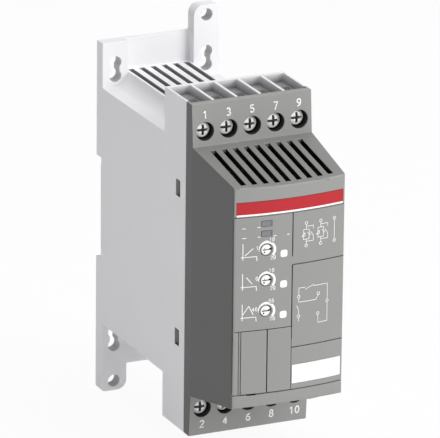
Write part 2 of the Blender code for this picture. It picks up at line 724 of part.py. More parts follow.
def side_outline(back_y):
    """Side view of the front housing, as (y, z) pairs: terminal faces, slopes and nose."""
    half = [(back_y, HALF_HEIGHT), (FACE_TOP_Y, HALF_HEIGHT), (FACE_LOW_Y, SHOULDER_Z)]
    half.append((FRONT_Y, nose_z(FRONT_Y)))
    return half + [(y, -z) for y, z in reversed(half)]


def nose_z(y):
    """Half height of the nose at a depth y."""
    share = (FACE_LOW_Y - y) / (FACE_LOW_Y - crown_y(NOSE_HALF_WIDTH))
    return SHOULDER_Z - NOSE_SLOPE_DROP * share


def plan_outline(inset, front_inset, corner):
    """Plan view of the front housing, as (x, y) pairs: straight, tapered, then crowned."""
    half_width = NOSE_HALF_WIDTH - inset
    radius = FRONT_CROWN_RADIUS - front_inset
    apex = FRONT_Y + front_inset
    corner_x = half_width - corner
    corner_y = crown_y(corner_x, radius, apex)
    side = [(HALF_WIDTH - inset, REAR_Y), (HALF_WIDTH - inset, FACE_LOW_Y)]
    side += [(half_width, corner_y + corner)]
    side += arc((corner_x, corner_y + corner), corner, -30, -90, 2)
    steps = 12
    across = [corner_x * (1 - 2 * i / steps) for i in range(1, steps)]
    return side + [(x, crown_y(x, radius, apex)) for x in across] + mirror_pairs(side)


def nose_slots():
    """Slots across both slopes of the nose, parallel in plan, with their ends along the crown."""
    slots = []
    half = NOSE_SLOT_WIDTH / 2
    for sign, _ in both_rows():
        for i in range(NOSE_SLOTS):
            x = (i - (NOSE_SLOTS - 1) / 2) * NOSE_SLOT_PITCH + NOSE_SLOT_SHIFT
            y = (crown_y(x) + NOSE_SLOT_FRONT_SET, FACE_LOW_Y - NOSE_SLOT_REAR_SET)
            slots.append(box("nose_slot", (x - half, x + half), y,
                             spans(sign, NOSE_FRONT_Z - 2 * WALL, HALF_HEIGHT)))
    return together("nose_slots", slots)


def terminal_hollow(sign):
    """Hollow behind a terminal face, with the screwdriver bosses left standing."""
    hollow = box("terminal_hollow", (WALL - HALF_WIDTH, HALF_WIDTH - WALL), (FACE_TOP_Y + WALL, REAR_Y),
                 spans(sign, SHOULDER_Z, HALF_HEIGHT - WALL))
    for i in range(POLES):
        boss = cylinder_y("screw_boss", ACCESS_DIAMETER / 2 + BOSS_WALL, (pole_x(i), sign * SCREW_Z),
                          (2 * SPLIT_Y, 2 * REAR_Y), 24)
        cut(hollow, boss)
    return settle(hollow)


def access_holes():
    """Screwdriver holes that end at a ledge behind the screw's head."""
    holes = []
    ledge_y = SCREW_HEAD_Y + SCREW_HEAD_HEIGHT + GAP
    for sign, _ in both_rows():
        for i in range(POLES):
            centre = (pole_x(i), sign * SCREW_Z)
            hole = cylinder_y("access_hole", ACCESS_DIAMETER / 2, centre, (FACE_LOW_Y - WALL, ledge_y), 32)
            add(hole, cylinder_y("shank_hole", SCREW_DIAMETER / 2 + SHANK_PLAY, centre,
                                 (FACE_TOP_Y, REAR_Y), 20))
            holes.append(settle(hole))
    return together("access_holes", holes)


def pocket_mouth(sign):
    """Opens the front housing's edge where the wire pockets run into it."""
    half = HALF_WIDTH - OUTER_WALL
    return box("pocket_mouth", (-half, half), (FACE_TOP_Y + POCKET_FRONT_WALL, REAR_Y),
               spans(sign, FLOOR_Z - SHELF_THICKNESS - GAP, FULL_HEIGHT))


def front_shell(name, z, x, depth, proud=0.0):
    """Slab that follows the crowned front, from a little proud of it to a depth behind it."""
    steps = 12
    across = [x[0] + (x[1] - x[0]) * i / steps for i in range(steps + 1)]
    outline = [(place, crown_y(place) - proud) for place in across]
    outline += [(place, crown_y(place) + depth) for place in reversed(across)]
    return prism(name, outline, "Z", z)


def seams():
    """Panel lines moulded into the front face. An upright one stops short of the level one below it."""
    half = SEAM_WIDTH / 2
    levels = []
    for z, left in ((TITLE_SEAM_Z, -HALF_WIDTH), (FOOT_SEAM_Z, -HALF_WIDTH),
                    (UPPER_SEAM_Z, CENTRE_SEAM_X), (LOWER_SEAM_Z, CENTRE_SEAM_X)):
        levels.append(front_shell("level_seam", (z - half, z + half), (left, HALF_WIDTH),
                                  SEAM_DEPTH, SEAM_DEPTH))
    uprights = []
    for above, below in ((TITLE_SEAM_Z, UPPER_SEAM_Z), (UPPER_SEAM_Z, LOWER_SEAM_Z)):
        uprights.append(front_shell("upright_seam", (below + SEAM_BRIDGE, above),
                                    (CENTRE_SEAM_X - half, CENTRE_SEAM_X + half), 2 * SEAM_DEPTH, SEAM_DEPTH))
    uprights += rim_seams()
    return settle(add(together("level_seams", levels), together("upright_seams", uprights)))


def rim_seams():
    """Fine lines round the rim on the left of the connector cover: one upright, one across its top."""
    half = FINE_SEAM_WIDTH / 2
    rim_x = COVER_LEFT_X - COVER_RIM
    brow = front_shell("brow_seam", (COVER_TOP_Z - half, COVER_TOP_Z + half), (-HALF_WIDTH, COVER_LEFT_X),
                       FINE_SEAM_DEPTH, SEAM_DEPTH)
    upright = front_shell("rim_seam", (FOOT_SEAM_Z, COVER_TOP_Z - SEAM_WIDTH), (rim_x - half, rim_x + half),
                          FINE_SEAM_DEPTH, SEAM_DEPTH)
    return [brow, upright]


def strip_spans(play=0.0):
    """Z and X spans of the title strip's seat, or of the strip with its play in that seat."""
    return ((STRIP_LOW_Z + play, STRIP_LOW_Z + STRIP_HEIGHT - play), (play - SEAT_X, SEAT_X - play))


def marker_spans(play=0.0):
    """Z and X spans of the marker plate's seat, or of the plate with its play in that seat."""
    return ((MARKER_LOW_Z + play, MARKER_LOW_Z + MARKER_HEIGHT - play),
            (CENTRE_SEAM_X + SEAM_WIDTH + play, SEAT_X - play))


def seats():
    """Shallow recesses for the title strip and the marker plate."""
    strip = front_shell("strip_seat", *strip_spans(), STRIP_THICKNESS + GAP, WALL)
    marker = front_shell("marker_seat", *marker_spans(), MARKER_THICKNESS + GAP, WALL)
    return together("seats", [strip, marker])


def cover_seat():
    """Recess, ledge and port behind the connector cover."""
    seat = front_shell("cover_seat", (COVER_LOW_Z - COVER_PLAY, COVER_TOP_Z + COVER_PLAY),
                       (COVER_LEFT_X - COVER_PLAY, COVER_RIGHT_X + COVER_PLAY), COVER_THICKNESS + GAP, WALL)
    port = port_box()
    add(seat, box("accessory_port", port[0], (2 * FRONT_Y, FRONT_Y + 2.5 * FRONT_WALL), port[1]))
    pry = PRY_WIDTH / 2
    add(seat, box("pry_slot", (PRY_CENTRE_X - pry, PRY_CENTRE_X + pry), (2 * FRONT_Y, FRONT_Y + FRONT_WALL),
                  (COVER_LOW_Z - PRY_HEIGHT, COVER_LOW_Z + PRY_HEIGHT)))
    return settle(seat)


def port_box():
    """X and Z spans of the port through the front wall."""
    ledge = COVER_LEDGE
    return ((COVER_LEFT_X + ledge, COVER_RIGHT_X - ledge), (COVER_LOW_Z + ledge, COVER_TOP_Z - ledge))


def setting_holes():
    holes = []
    through = (2 * FRONT_Y, FRONT_Y + 2.5 * FRONT_WALL)
    for z in dial_heights():
        holes.append(cylinder_y("dial_hole", DIAL_DIAMETER / 2 + DIAL_PLAY, (SETTING_X, z), through, 24))
    half_x = GUIDE_WIDTH / 2 + GUIDE_PLAY
    half_z = GUIDE_HEIGHT / 2 + GUIDE_PLAY
    for z in guide_heights():
        holes.append(box("guide_hole", (SETTING_X - half_x, SETTING_X + half_x), through,
                         (z - half_z, z + half_z)))
    return together("setting_holes", holes)


def dial_heights():
    return [DIAL_TOP_Z - i * DIAL_PITCH for i in range(3)]


def guide_heights():
    return [GUIDE_UPPER_Z, GUIDE_UPPER_Z - GUIDE_PITCH]


def snap_tongue(side, z):
    """Tongue behind the side wall whose nib shows in the wall's window."""
    middle = SPLIT_Y + WINDOW_FROM_SPLIT
    end = middle + WINDOW_SIZE_Y / 2 - GAP
    inner = CAVITY_X - GAP
    half = WINDOW_SIZE_Z / 2 - GAP
    root = HALF_WIDTH - WALL / 2
    blade = [(inner - WALL, SPLIT_Y - 2 * WALL), (root, SPLIT_Y - 2 * WALL), (root, SPLIT_Y - 2 * GAP)]
    blade += [(inner, SPLIT_Y - 2 * GAP), (inner, middle - WINDOW_SIZE_Y / 2 + GAP)]
    blade += [(inner + WALL / 2, middle - WINDOW_SIZE_Y / 2 + GAP), (inner, end), (inner - WALL, end)]
    outline = [(side * x, y) for x, y in blade]
    return prism("snap_tongue", outline, "Z", (z - half, z + half))


def build_front_housing():
    back = SPLIT_Y - GAP
    housing = prism("front_housing", side_outline(back), "X", (-BODY_WIDTH, BODY_WIDTH))
    plan = prism("front_plan", plan_outline(0.0, 0.0, FRONT_EDGE_RADIUS), "Z", (-FULL_HEIGHT, FULL_HEIGHT))
    boolean(housing, plan, "INTERSECT")
    room = prism("nose_room", nose_room_outline(), "X", (-BODY_WIDTH, BODY_WIDTH))
    room_plan = prism("room_plan", plan_outline(WALL, FRONT_WALL, WALL), "Z", (-FULL_HEIGHT, FULL_HEIGHT))
    boolean(room, room_plan, "INTERSECT")
    cut(housing, room)
    for tool in (terminal_hollow(1), terminal_hollow(-1), pocket_mouth(1), pocket_mouth(-1), access_holes(),
                 nose_slots(), seams(), seats(), cover_seat(), setting_holes()):
        cut(housing, tool)
    for side in (-1, 1):
        for z in (-WINDOW_Z, WINDOW_Z):
            add(housing, snap_tongue(side, z))
    return as_part(housing, "grey_plastic")


def nose_room_outline():
    """Side view of the hollow in the nose, as (y, z) pairs."""
    rear_z = SHOULDER_Z - WALL
    half = [(REAR_Y, rear_z), (FACE_LOW_Y, rear_z), (FRONT_Y, nose_z(FRONT_Y) - WALL)]
    return half + [(y, -z) for y, z in reversed(half)]


def build_front_trim():
    """Title strip, marker plate and connector cover, all flush with the crown."""
    strip = front_shell("title_strip", *strip_spans(INLAY_PLAY), STRIP_THICKNESS)
    as_part(strip, "strip_red")
    marker = front_shell("marker_plate", *marker_spans(INLAY_PLAY), MARKER_THICKNESS)
    as_part(marker, "marker_white")
    build_connector_cover()


def build_connector_cover():
    cover = front_shell("connector_cover", (COVER_LOW_Z, COVER_TOP_Z), (COVER_LEFT_X, COVER_RIGHT_X),
                        COVER_THICKNESS)
    port = port_box()
    leg_z = (port[1][0] + 3 * WALL, port[1][1] - 3 * WALL)
    for x, towards in ((port[0][0] + GAP, 1), (port[0][1] - GAP, -1)):
        span = sorted((x, x + towards * COVER_LEG))
        root = crown_y(x) + COVER_THICKNESS / 2
        add(cover, box("cover_leg", span, (root, root + COVER_LEG_LENGTH), leg_z))
    half = SEAM_WIDTH / 2
    groove = front_shell("cover_groove", (COVER_LOW_Z - WALL, COVER_TOP_Z + WALL),
                         (COVER_SPLIT_X - half, COVER_SPLIT_X + half), 0.7 * COVER_THICKNESS, WALL)
    cut(cover, groove)
    origin_at(cover, (COVER_SPLIT_X, crown_y(COVER_SPLIT_X), (COVER_LOW_Z + COVER_TOP_Z) / 2))
    return as_part(cover, "grey_plastic")


def build_settings():
    """Dials in the front face, on their trimmers, and the two light guides on their lamps."""
    names = ("start_ramp", "stop_ramp", "start_voltage")
    front = CONTROL_BOARD_Y - GAP
    half = TRIMMER_SIZE / 2
    inner_y = crown_y(SETTING_X - half) + FRONT_WALL
    dial = turned("dial_master", dial_profile(), 28)
    cut(dial, dial_slot())
    settle(dial)
    for label, z in zip(names, dial_heights()):
        body = box(label + "_trimmer", (SETTING_X - half, SETTING_X + half), (inner_y + GAP, front),
                   (z - half, z + half))
        round_edges(body, 0.4 * MM, lambda a, b: abs(a.y - b.y) > MM, 2)
        as_part(body, "trimmer_blue")
        place = Matrix.Translation((SETTING_X, inner_y, z)) @ Matrix.Rotation(math.pi / 2, 4, "X")
        copy_at(dial, label + "_dial", place, "dial_white")
    bpy.data.objects.remove(dial, do_unlink=True)
    for label, z in zip(("upper", "lower"), guide_heights()):
        x = (SETTING_X - GUIDE_WIDTH / 2, SETTING_X + GUIDE_WIDTH / 2)
        height = (z - GUIDE_HEIGHT / 2, z + GUIDE_HEIGHT / 2)
        guide = box(label + "_light_guide", x, (crown_y(x[0]), front - LED_HEIGHT - GAP), height)
        as_part(guide, "guide_clear")
        lamp = box(label + "_status_lamp", (x[0] + GAP, x[1] - GAP), (front - LED_HEIGHT, front), height)
        as_part(lamp, "led_epoxy")


def dial_profile():
    """Dial as turned about its axis: a flat disc with a softened rim."""
    radius = DIAL_DIAMETER / 2
    rim = 0.2 * MM
    length = FRONT_WALL + DIAL_STAND
    return [(0.0, length), (radius - rim, length), (radius, length - rim), (radius, 0.0), (0.0, 0.0)]


def dial_slot():
    """Screwdriver slot that runs from near one rim to the other."""
    length = FRONT_WALL + DIAL_STAND
    reach = DIAL_DIAMETER / 2 - 0.45 * MM
    width = 0.25 * MM
    return box("dial_slot", (-reach, reach), (-width, width), (length - 0.8 * MM, length + WALL))


def control_half_x():
    """Half width that the nose's tapered sides leave for the control board."""
    share = (FACE_LOW_Y - CONTROL_BOARD_Y) / (FACE_LOW_Y - crown_y(NOSE_HALF_WIDTH))
    return HALF_WIDTH - NOSE_SIDE_TAPER * share - WALL - GAP


def riser_span():
    """X span of the riser board, just inside the control board's right edge."""
    return control_half_x() - 2 * BOARD, control_half_x() - BOARD


def lane():
    """X span between the middle bar and the riser board, for what stands on the power board."""
    return BAR_WIDTH / 2 + 2 * WALL, riser_span()[0] - LANE_PLAY


def build_boards():
    """Power board across the rear room, control board behind the face, riser between them."""
    edge_x = CAVITY_X - GAP
    power = box("power_board", (-edge_x, edge_x), (POWER_BOARD_Y, POWER_BOARD_Y + BOARD),
                (GAP - CAVITY_Z, CAVITY_Z - GAP))
    as_part(power, "board_green")
    control_x = control_half_x()
    control_z = nose_z(CONTROL_BOARD_Y) - WALL - GAP
    control = box("control_board", (-control_x, control_x), (CONTROL_BOARD_Y, CONTROL_BOARD_Y + BOARD),
                  (-control_z, control_z))
    as_part(control, "board_green")
    riser = box("riser_board", riser_span(), (CONTROL_BOARD_Y + BOARD + GAP, POWER_BOARD_Y - GAP),
                (RELAY_LOW_Z - RISER_HEIGHT, RELAY_LOW_Z))
    as_part(riser, "board_green")


def build_connector():
    """Shrouded header that an accessory plugs into when the cover is off."""
    port = port_box()
    x = (port[0][0] + port[0][1]) / 2
    z = (port[1][0] + port[1][1]) / 2
    back = CONTROL_BOARD_Y - GAP
    half_x = x - port[0][0] - GAP - COVER_LEG - CONNECTOR_PLAY
    half_z = CONNECTOR_HEIGHT / 2
    shroud = box("accessory_connector", (x - half_x, x + half_x), (back - CONNECTOR_DEPTH, back),
                 (z - half_z, z + half_z))
    wall = CONNECTOR_WALL
    room = box("connector_room", (x - half_x + wall, x + half_x - wall), (2 * back, back - wall),
               (z - half_z + wall, z + half_z - wall))
    cut(shroud, room)
    pin = PIN_WIDTH / 2
    pitch = 2 * (half_x - wall) / (PIN_COLUMNS + 0.5)
    pin_y = (back - CONNECTOR_DEPTH + wall, back - wall / 2)
    for row in (-1, 1):
        pin_z = z + row * PIN_ROW_SPACING / 2
        for column in range(PIN_COLUMNS):
            pin_x = x + (column - (PIN_COLUMNS - 1) / 2) * pitch
            add(shroud, box("connector_pin", (pin_x - pin, pin_x + pin), pin_y, (pin_z - pin, pin_z + pin)))
    return as_part(settle(shroud), "black_plastic")


def build_power_parts():
    """Thyristor modules and heat sink behind the power board, relays and supply before it."""
    module_front = POWER_BOARD_Y + BOARD + GAP
    relay_front = POWER_BOARD_Y - GAP - RELAY_DEPTH
    for phase, side in ((1, -1), (2, 1)):
        x = sorted((side * MODULE_MIDDLE_GAP / 2, side * (CAVITY_X - MODULE_SIDE_ROOM)))
        module = box(f"thyristor_module_{phase}", x, (module_front, module_front + MODULE_THICKNESS),
                     (-MODULE_HEIGHT / 2, MODULE_HEIGHT / 2))
        round_edges(module, 0.6 * MM, lambda a, b: abs(a.y - b.y) > MM, 2)
        as_part(module, "black_plastic")
        relay = box(f"bypass_relay_{phase}", sorted(side * place for place in lane()),
                    (relay_front, relay_front + RELAY_DEPTH), (RELAY_LOW_Z, RELAY_TOP_Z))
        round_edges(relay, 0.6 * MM, lambda a, b: min(a.y, b.y) < relay_front + RELAY_DEPTH / 2, 2)
        as_part(relay, "relay_case")
    build_heat_sink()
    build_supply()


def build_heat_sink():
    """Extruded comb: a base plate against the modules and fins towards the rear."""
    half = CAVITY_X - GAP
    tip_y = CAVITY_REAR_Y - 2 * GAP
    base_y = SINK_FRONT_Y + SINK_BASE
    pitch = (2 * half - SINK_FIN) / (SINK_FINS - 1)
    outline = [(-half, SINK_FRONT_Y)]
    for i in range(SINK_FINS):
        left = -half + i * pitch
        outline += [(left, base_y)] if i else []
        outline += [(left, tip_y), (left + SINK_FIN, tip_y)]
        outline += [(left + SINK_FIN, base_y)] if i < SINK_FINS - 1 else []
    outline += [(half, SINK_FRONT_Y)]
    sink = prism("heat_sink", outline, "Z", (GAP - CAVITY_Z, CAVITY_Z - GAP))
    return as_part(sink, "aluminium")


def build_supply():
    """Supply transformer on its core, and the smoothing capacitor."""
    board = POWER_BOARD_Y - GAP
    right = -lane()[0]
    left = TRANSFORMER_SIDE_ROOM - CAVITY_X
    high = RELAY_LOW_Z - 2 * WALL
    low = high - TRANSFORMER_HEIGHT
    core_y = (board - TRANSFORMER_DEPTH + 2 * WALL, board)
    core = box("supply_transformer", (left, right), core_y, (low, high))
    quarter = TRANSFORMER_HEIGHT / 4
    coil = box("transformer_coil", (left + WALL, right - WALL), (board - TRANSFORMER_DEPTH, board - WALL),
               (low + quarter, high - quarter))
    round_edges(coil, 1.0 * MM, lambda a, b: abs(a.z - b.z) > MM, 2)
    add(core, coil)
    as_part(settle(core), "ferrite")
    radius = (lane()[1] - lane()[0]) / 2
    can = settle(turned("filter_capacitor", can_profile(radius), 28))
    can.matrix_world = (Matrix.Translation((lane()[0] + radius, board, high - radius - WALL))
                        @ Matrix.Rotation(math.pi / 2, 4, "X"))
    return as_part(can, "black_plastic")


def can_profile(radius):
    """Capacitor can about its axis: a softened top and a rolled groove near its foot."""
    neck = CAPACITOR_GROOVE
    groove = CAPACITOR_GROOVE_SET
    points = [(0.0, CAPACITOR_LENGTH), (radius - neck, CAPACITOR_LENGTH), (radius, CAPACITOR_LENGTH - neck)]
    points += [(radius, groove + 2 * neck), (radius - neck, groove + neck), (radius - neck, groove - neck)]
    return points + [(radius, groove - 2 * neck), (radius, 0.0), (0.0, 0.0)]


def screw_profile():
    """Clamp screw about its axis, its seat at zero: domed head above, shank below."""
    head = SCREW_HEAD_DIAMETER / 2
    shank = SCREW_DIAMETER / 2
    dome = 0.45 * MM
    length = SCREW_HEAD_Y + SCREW_HEAD_HEIGHT
    reach = BAR_FRONT_Y - GAP - length
    top = SCREW_HEAD_HEIGHT
    points = [(0.0, top), (0.45 * head, top - dome / 8), (0.8 * head, top - dome / 2)]
    points += [(head, top - 1.6 * dome), (head, 0.0), (shank, 0.0)]
    points += [(shank, -reach + dome), (shank - dome, -reach), (0.0, -reach)]
    return points


def build_screws():
    """Ten terminal screws with a cross and a straight slot in the head."""
    master = turned("screw_master", screw_profile(), 24)
    top = SCREW_HEAD_HEIGHT
    arm = 0.36 * SCREW_HEAD_DIAMETER
    width = 0.45 * MM
    cross = box("cross_slot", (-arm, arm), (-width, width), (top - 1.1 * MM, top + WALL))
    add(cross, box("cross_arm", (-width, width), (-arm, arm), (top - 1.1 * MM, top + 2 * WALL)))
    add(cross, box("straight_slot", (-SCREW_HEAD_DIAMETER, SCREW_HEAD_DIAMETER), (-0.3 * MM, 0.3 * MM),
                   (top - 0.7 * MM, top + 3 * WALL)))
    cut(master, settle(cross))
    settle(master)
    turn = Matrix.Rotation(math.pi / 2, 4, "X")
    for sign, first in both_rows():
        for i in range(POLES):
            seat = Matrix.Translation((pole_x(i), SCREW_HEAD_Y + SCREW_HEAD_HEIGHT, sign * SCREW_Z))
            copy_at(master, f"terminal_screw_{first + 2 * i}", seat @ turn, "zinc_steel")
    bpy.data.objects.remove(master, do_unlink=True)


def build_cages():
    """Ten rising cages: a square loop round the bar and the wire, tapped for its screw."""
    half = CAGE_WIDTH / 2
    depth = CAGE_BACK_Y - CAGE_FRONT_Y
    cage = box("cage_master", (-half, half), (0.0, depth), (-CAGE_HEIGHT / 2, CAGE_HEIGHT / 2))
    inner = half - CAGE_WALL
    cut(cage, box("cage_window", (-inner, inner), (CAGE_WALL, depth - CAGE_WALL),
                  (-CAGE_HEIGHT, CAGE_HEIGHT)))
    cut(cage, cylinder_y("cage_thread", SCREW_DIAMETER / 2 + THREAD_PLAY, (0.0, 0.0),
                         (-WALL, 2 * CAGE_WALL), 20))
    settle(cage)
    for sign, first in both_rows():
        for i in range(POLES):
            place = Matrix.Translation((pole_x(i), CAGE_FRONT_Y, sign * SCREW_Z))
            copy_at(cage, f"clamp_cage_{first + 2 * i}", place, "zinc_steel")
    bpy.data.objects.remove(cage, do_unlink=True)


def build_bars():
    """Contact bars from the cages to the power board, and the straight bar of the middle pole."""
    end = SCREW_Z + CAGE_HEIGHT / 2 - GAP
    half = BAR_WIDTH / 2
    foot_y = POWER_BOARD_Y - GAP
    bend = BAR_THICKNESS
    for sign, first in both_rows():
        for i in range(POLES):
            x = pole_x(i)
            if i == POLES // 2:
                continue
            outline = [(BAR_FRONT_Y, end), (BAR_BACK_Y, end), (BAR_BACK_Y, BAR_FOOT_Z + bend)]
            outline += [(foot_y, BAR_FOOT_Z + bend), (foot_y, BAR_FOOT_Z)]
            outline += [(BAR_FRONT_Y + bend / 2, BAR_FOOT_Z), (BAR_FRONT_Y, BAR_FOOT_Z + bend / 2)]
            outline = [(y, sign * z) for y, z in outline]
            bar = prism(f"contact_bar_{first + 2 * i}", outline, "X", (x - half, x + half))
            as_part(bar, "tin_copper")
    middle = pole_x(POLES // 2)
    through = box("through_bar", (middle - half, middle + half), (BAR_FRONT_Y, BAR_BACK_Y), (-end, end))
    round_edges(through, 0.8 * MM, lambda a, b: abs(a.y - b.y) > 0.1 * MM, 3)
    as_part(through, "tin_copper")


def build_latch():
    """Sliding rail latch with guide wings, a screwdriver slot and a lug for its spring."""
    half = LATCH_WIDTH / 2
    front = RAIL_FLANGE + GAP
    back = front + LATCH_THICKNESS
    top = -RAIL_HEIGHT / 2 + LATCH_BITE
    foot = -HALF_HEIGHT
    latch = box("rail_latch", (-half, half), (front, back), (foot, top))
    wing_x = half + LATCH_WING - GAP
    add(latch, box("latch_wings", (-wing_x, wing_x), (front, front + LATCH_WING_THICKNESS),
                   (-HALF_HEIGHT + WALL, RAIL_LOW_Z - LATCH_ROOM)))
    lug = SPRING_RADIUS + SPRING_WIRE
    add(latch, box("latch_lug", (-lug, lug), (spring_y() - SPRING_RADIUS, front + GAP),
                   (SPRING_TOP_Z + GAP, SPRING_TOP_Z + LUG_THICKNESS)))
    cut(latch, box("latch_slot", (-half / 2, half / 2), (-REAR_Y, 2 * REAR_Y),
                   (foot + WALL, foot + 2 * WALL)))
    slope = [(front - WALL, top + WALL), (front - WALL, top), (front, top - LATCH_NOSE)]
    slope.append((front + WALL, top + WALL))
    cut(latch, prism("latch_nose", slope, "X", (-LATCH_WIDTH, LATCH_WIDTH)))
    origin_at(latch, (0.0, front, top))
    as_part(latch, "light_plastic")
    build_spring()


def build_spring():
    """Compression spring between the latch's lug and the end of its pocket."""
    curve = bpy.data.curves.new("latch_spring", "CURVE")
    curve.dimensions = "3D"
    curve.bevel_depth = SPRING_WIRE
    curve.bevel_resolution = 1
    curve.use_fill_caps = True
    spline = curve.splines.new("POLY")
    per_turn = 10
    count = SPRING_TURNS * per_turn
    spline.points.add(count)
    low = SPRING_TOP_Z - SPRING_LENGTH + SPRING_WIRE
    rise = SPRING_LENGTH - 2 * SPRING_WIRE
    for i, point in enumerate(spline.points):
        angle = math.tau * i / per_turn
        point.co = (SPRING_RADIUS * math.cos(angle), spring_y() + SPRING_RADIUS * math.sin(angle),
                    low + rise * i / count, 1.0)
    coil = bpy.data.objects.new("latch_spring_path", curve)
    return as_part(curve_to_mesh(coil, "latch_spring"), "zinc_steel")


build_base_housing()
build_front_housing()
build_front_trim()
build_settings()
build_boards()
build_connector()
build_power_parts()
build_screws()
build_cages()
build_bars()
build_latch()
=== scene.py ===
"""Looks of the rail-mounted soft starter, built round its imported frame."""

import math

import bmesh
import bpy
from mathutils import Matrix, Vector


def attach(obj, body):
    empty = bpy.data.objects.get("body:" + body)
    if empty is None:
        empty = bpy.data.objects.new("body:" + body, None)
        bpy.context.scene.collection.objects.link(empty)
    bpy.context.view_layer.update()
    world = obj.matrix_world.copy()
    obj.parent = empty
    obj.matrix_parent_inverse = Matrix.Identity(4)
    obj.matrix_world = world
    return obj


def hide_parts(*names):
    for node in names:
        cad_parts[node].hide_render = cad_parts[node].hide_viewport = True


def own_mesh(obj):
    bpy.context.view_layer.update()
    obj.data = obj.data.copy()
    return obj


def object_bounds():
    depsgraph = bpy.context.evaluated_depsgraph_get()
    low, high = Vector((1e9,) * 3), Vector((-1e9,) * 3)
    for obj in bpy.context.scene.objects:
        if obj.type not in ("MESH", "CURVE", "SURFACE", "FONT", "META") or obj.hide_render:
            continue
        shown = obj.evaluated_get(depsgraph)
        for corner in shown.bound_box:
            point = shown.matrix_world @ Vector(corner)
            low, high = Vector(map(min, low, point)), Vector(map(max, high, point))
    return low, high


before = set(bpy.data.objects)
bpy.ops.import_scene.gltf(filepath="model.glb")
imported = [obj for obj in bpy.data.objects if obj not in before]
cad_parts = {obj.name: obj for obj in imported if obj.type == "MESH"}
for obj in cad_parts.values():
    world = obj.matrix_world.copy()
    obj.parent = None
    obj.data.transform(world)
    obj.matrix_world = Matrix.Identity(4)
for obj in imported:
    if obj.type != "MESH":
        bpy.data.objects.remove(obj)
cad_low, cad_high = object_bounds()

MM = 0.001

# Outer skin of the two housings, in millimetres from the middle of the rail seat
CROWN_RADIUS = 110.0
HALF_WIDTH = 22.5
HALF_HEIGHT = 60.35
SHOULDER_Z = 45.25
NOSE_HALF_WIDTH = 20.8
NOSE_Z = 39.65
FACE_TOP_Y = -76.7
FACE_LOW_Y = -77.8
ROOF_Z = 49.0
COVE_FLOOR_Z = 44.0
EAR_INNER_X = 12.6
BLOCK_BACK_Y = -54.2
POCKET_FLOOR_Z = 57.0
SPLIT_Y = -72.0
SKIN = 0.25
SLACK = 0.02
FLANK_X = 20.2

# Rounded front edge of the crown: its radius in millimetres, the angle that it turns through and
# the leans of its two cuts in degrees, and the cutting cone's ends in millimetres
CROWN_ROUND = 0.8
CROWN_TURN = 79.5
CROWN_LEANS = (26.5, 53.0)
CUTTER_ENDS = (-130, 18)
CUTTER_SIDES = 256

# Openings of the two housings, in millimetres
REAR_LIP_Y = 1.4
ROOM_BACK_Y = -2.3
SNAP_WINDOW_Y = -64.1
SNAP_WINDOW_Z = 27.2
SNAP_WINDOW_HALF = 3.1
SNAP_WALL_X = 20.9
SNAP_NIB_X = 20.3
SNAP_NIB_BACK = 0.5
WALL_HOLE_X = 17.55
WALL_HOLE_REACH = 2.35
WALL_HOLE_FRONT_Y = -0.9
KEYHOLE_HEIGHTS = (45.5, 55.3)
EAR_HOLE_HEIGHTS = (64.0, 68.8)
POCKET_WALL = 0.7
CELL_DROP = 6.0
CELL_REACH = 3.0
DRIVER_HOLE_REACH = 3.5
FRONT_HOLE_DEPTH = 2.6
SEAM_DEPTH = 1.2
SEAM_REACH = 0.25
NOSE_SLOT_END = 3.2
GRIP_DEPTH = 0.04

# Roundings of edges in millimetres, angles of edges in degrees, and flats in square millimetres
HOUSING_EDGE = 0.16
PANEL_EDGE = 0.1
LATCH_EDGE = 0.15
SCREW_EDGE = 0.05
HARD_ANGLE = 38
SPRING_ANGLE = 60
FAINT_ANGLES = (2.2, 6.0)
LARGE_FLAT = 120
LEVEL_FLAT = 3

# Places on the front face, in millimetres
SETTING_X = -9.2
DIAL_HEIGHTS = (16.9, 5.9, -5.1)
GUIDE_HEIGHTS = (26.3, 22.75)
DIAL_NAMES = ("start_ramp_dial", "stop_ramp_dial", "start_voltage_dial")
DIAL_MARKS = (("1", "10", "20"), ("0", "10", "20"), ("40", "55", "70"))
DIAL_RING = 2.3
DIAL_SIDE = 0.3
GUIDE_HALF_WIDTH = 2.1
GUIDE_HALF_HEIGHT = 1.2
ROW_STEP = 11.03
LEVEL_SEAMS = (29.2, 10.4, -19.5, -34.9, -11.9)
STRIP_LINE_Z = 30.1

# Pits in a dial: place from its middle, cut radius, painted radius and depth, in millimetres
DIAL_PITS = ((1.36, 0.15, 0.40, 0.45, 1.6), (-0.70, -0.80, 0.30, 0.34, 1.6), (-0.62, 0.55, 0.17, 0.20, 1.5))
PIT_START = 0.6
PIT_RIM = 0.05

# Five poles, each with a terminal above and one below, in millimetres
TERMINALS = 5
TERMINAL_PITCH = 8.85
SCREW_Z = 50.4
SCREW_TOP_Y = -75.42
SCREW_CROWN = 0.05
SCREW_SIDE = 0.95
RECESS_RADIUS = 1.5
RECESS_START = 0.1
DRIVER_SLOT_RADIUS = 1.7
DRIVER_SLOT_HALF = 0.31
DRIVER_SLOT_START = 0.25
DRIVER_SLOT_DEPTH = 0.8

# Print, in millimetres; the pitch of figures is a share of their height
PRINT_LIFT = 0.02
PRINT_HALF = 0.012
LINE_STEP = 2.0
RING_RADIUS = 0.5
RING_LINE = 0.22
RING_STEPS = 16
FIGURE_PITCH = 0.82
TERMINAL_FIGURE_Z = 56.3
TERMINAL_FIGURE_HEIGHT = 2.75
TERMINAL_FIGURE_LINE = 0.5

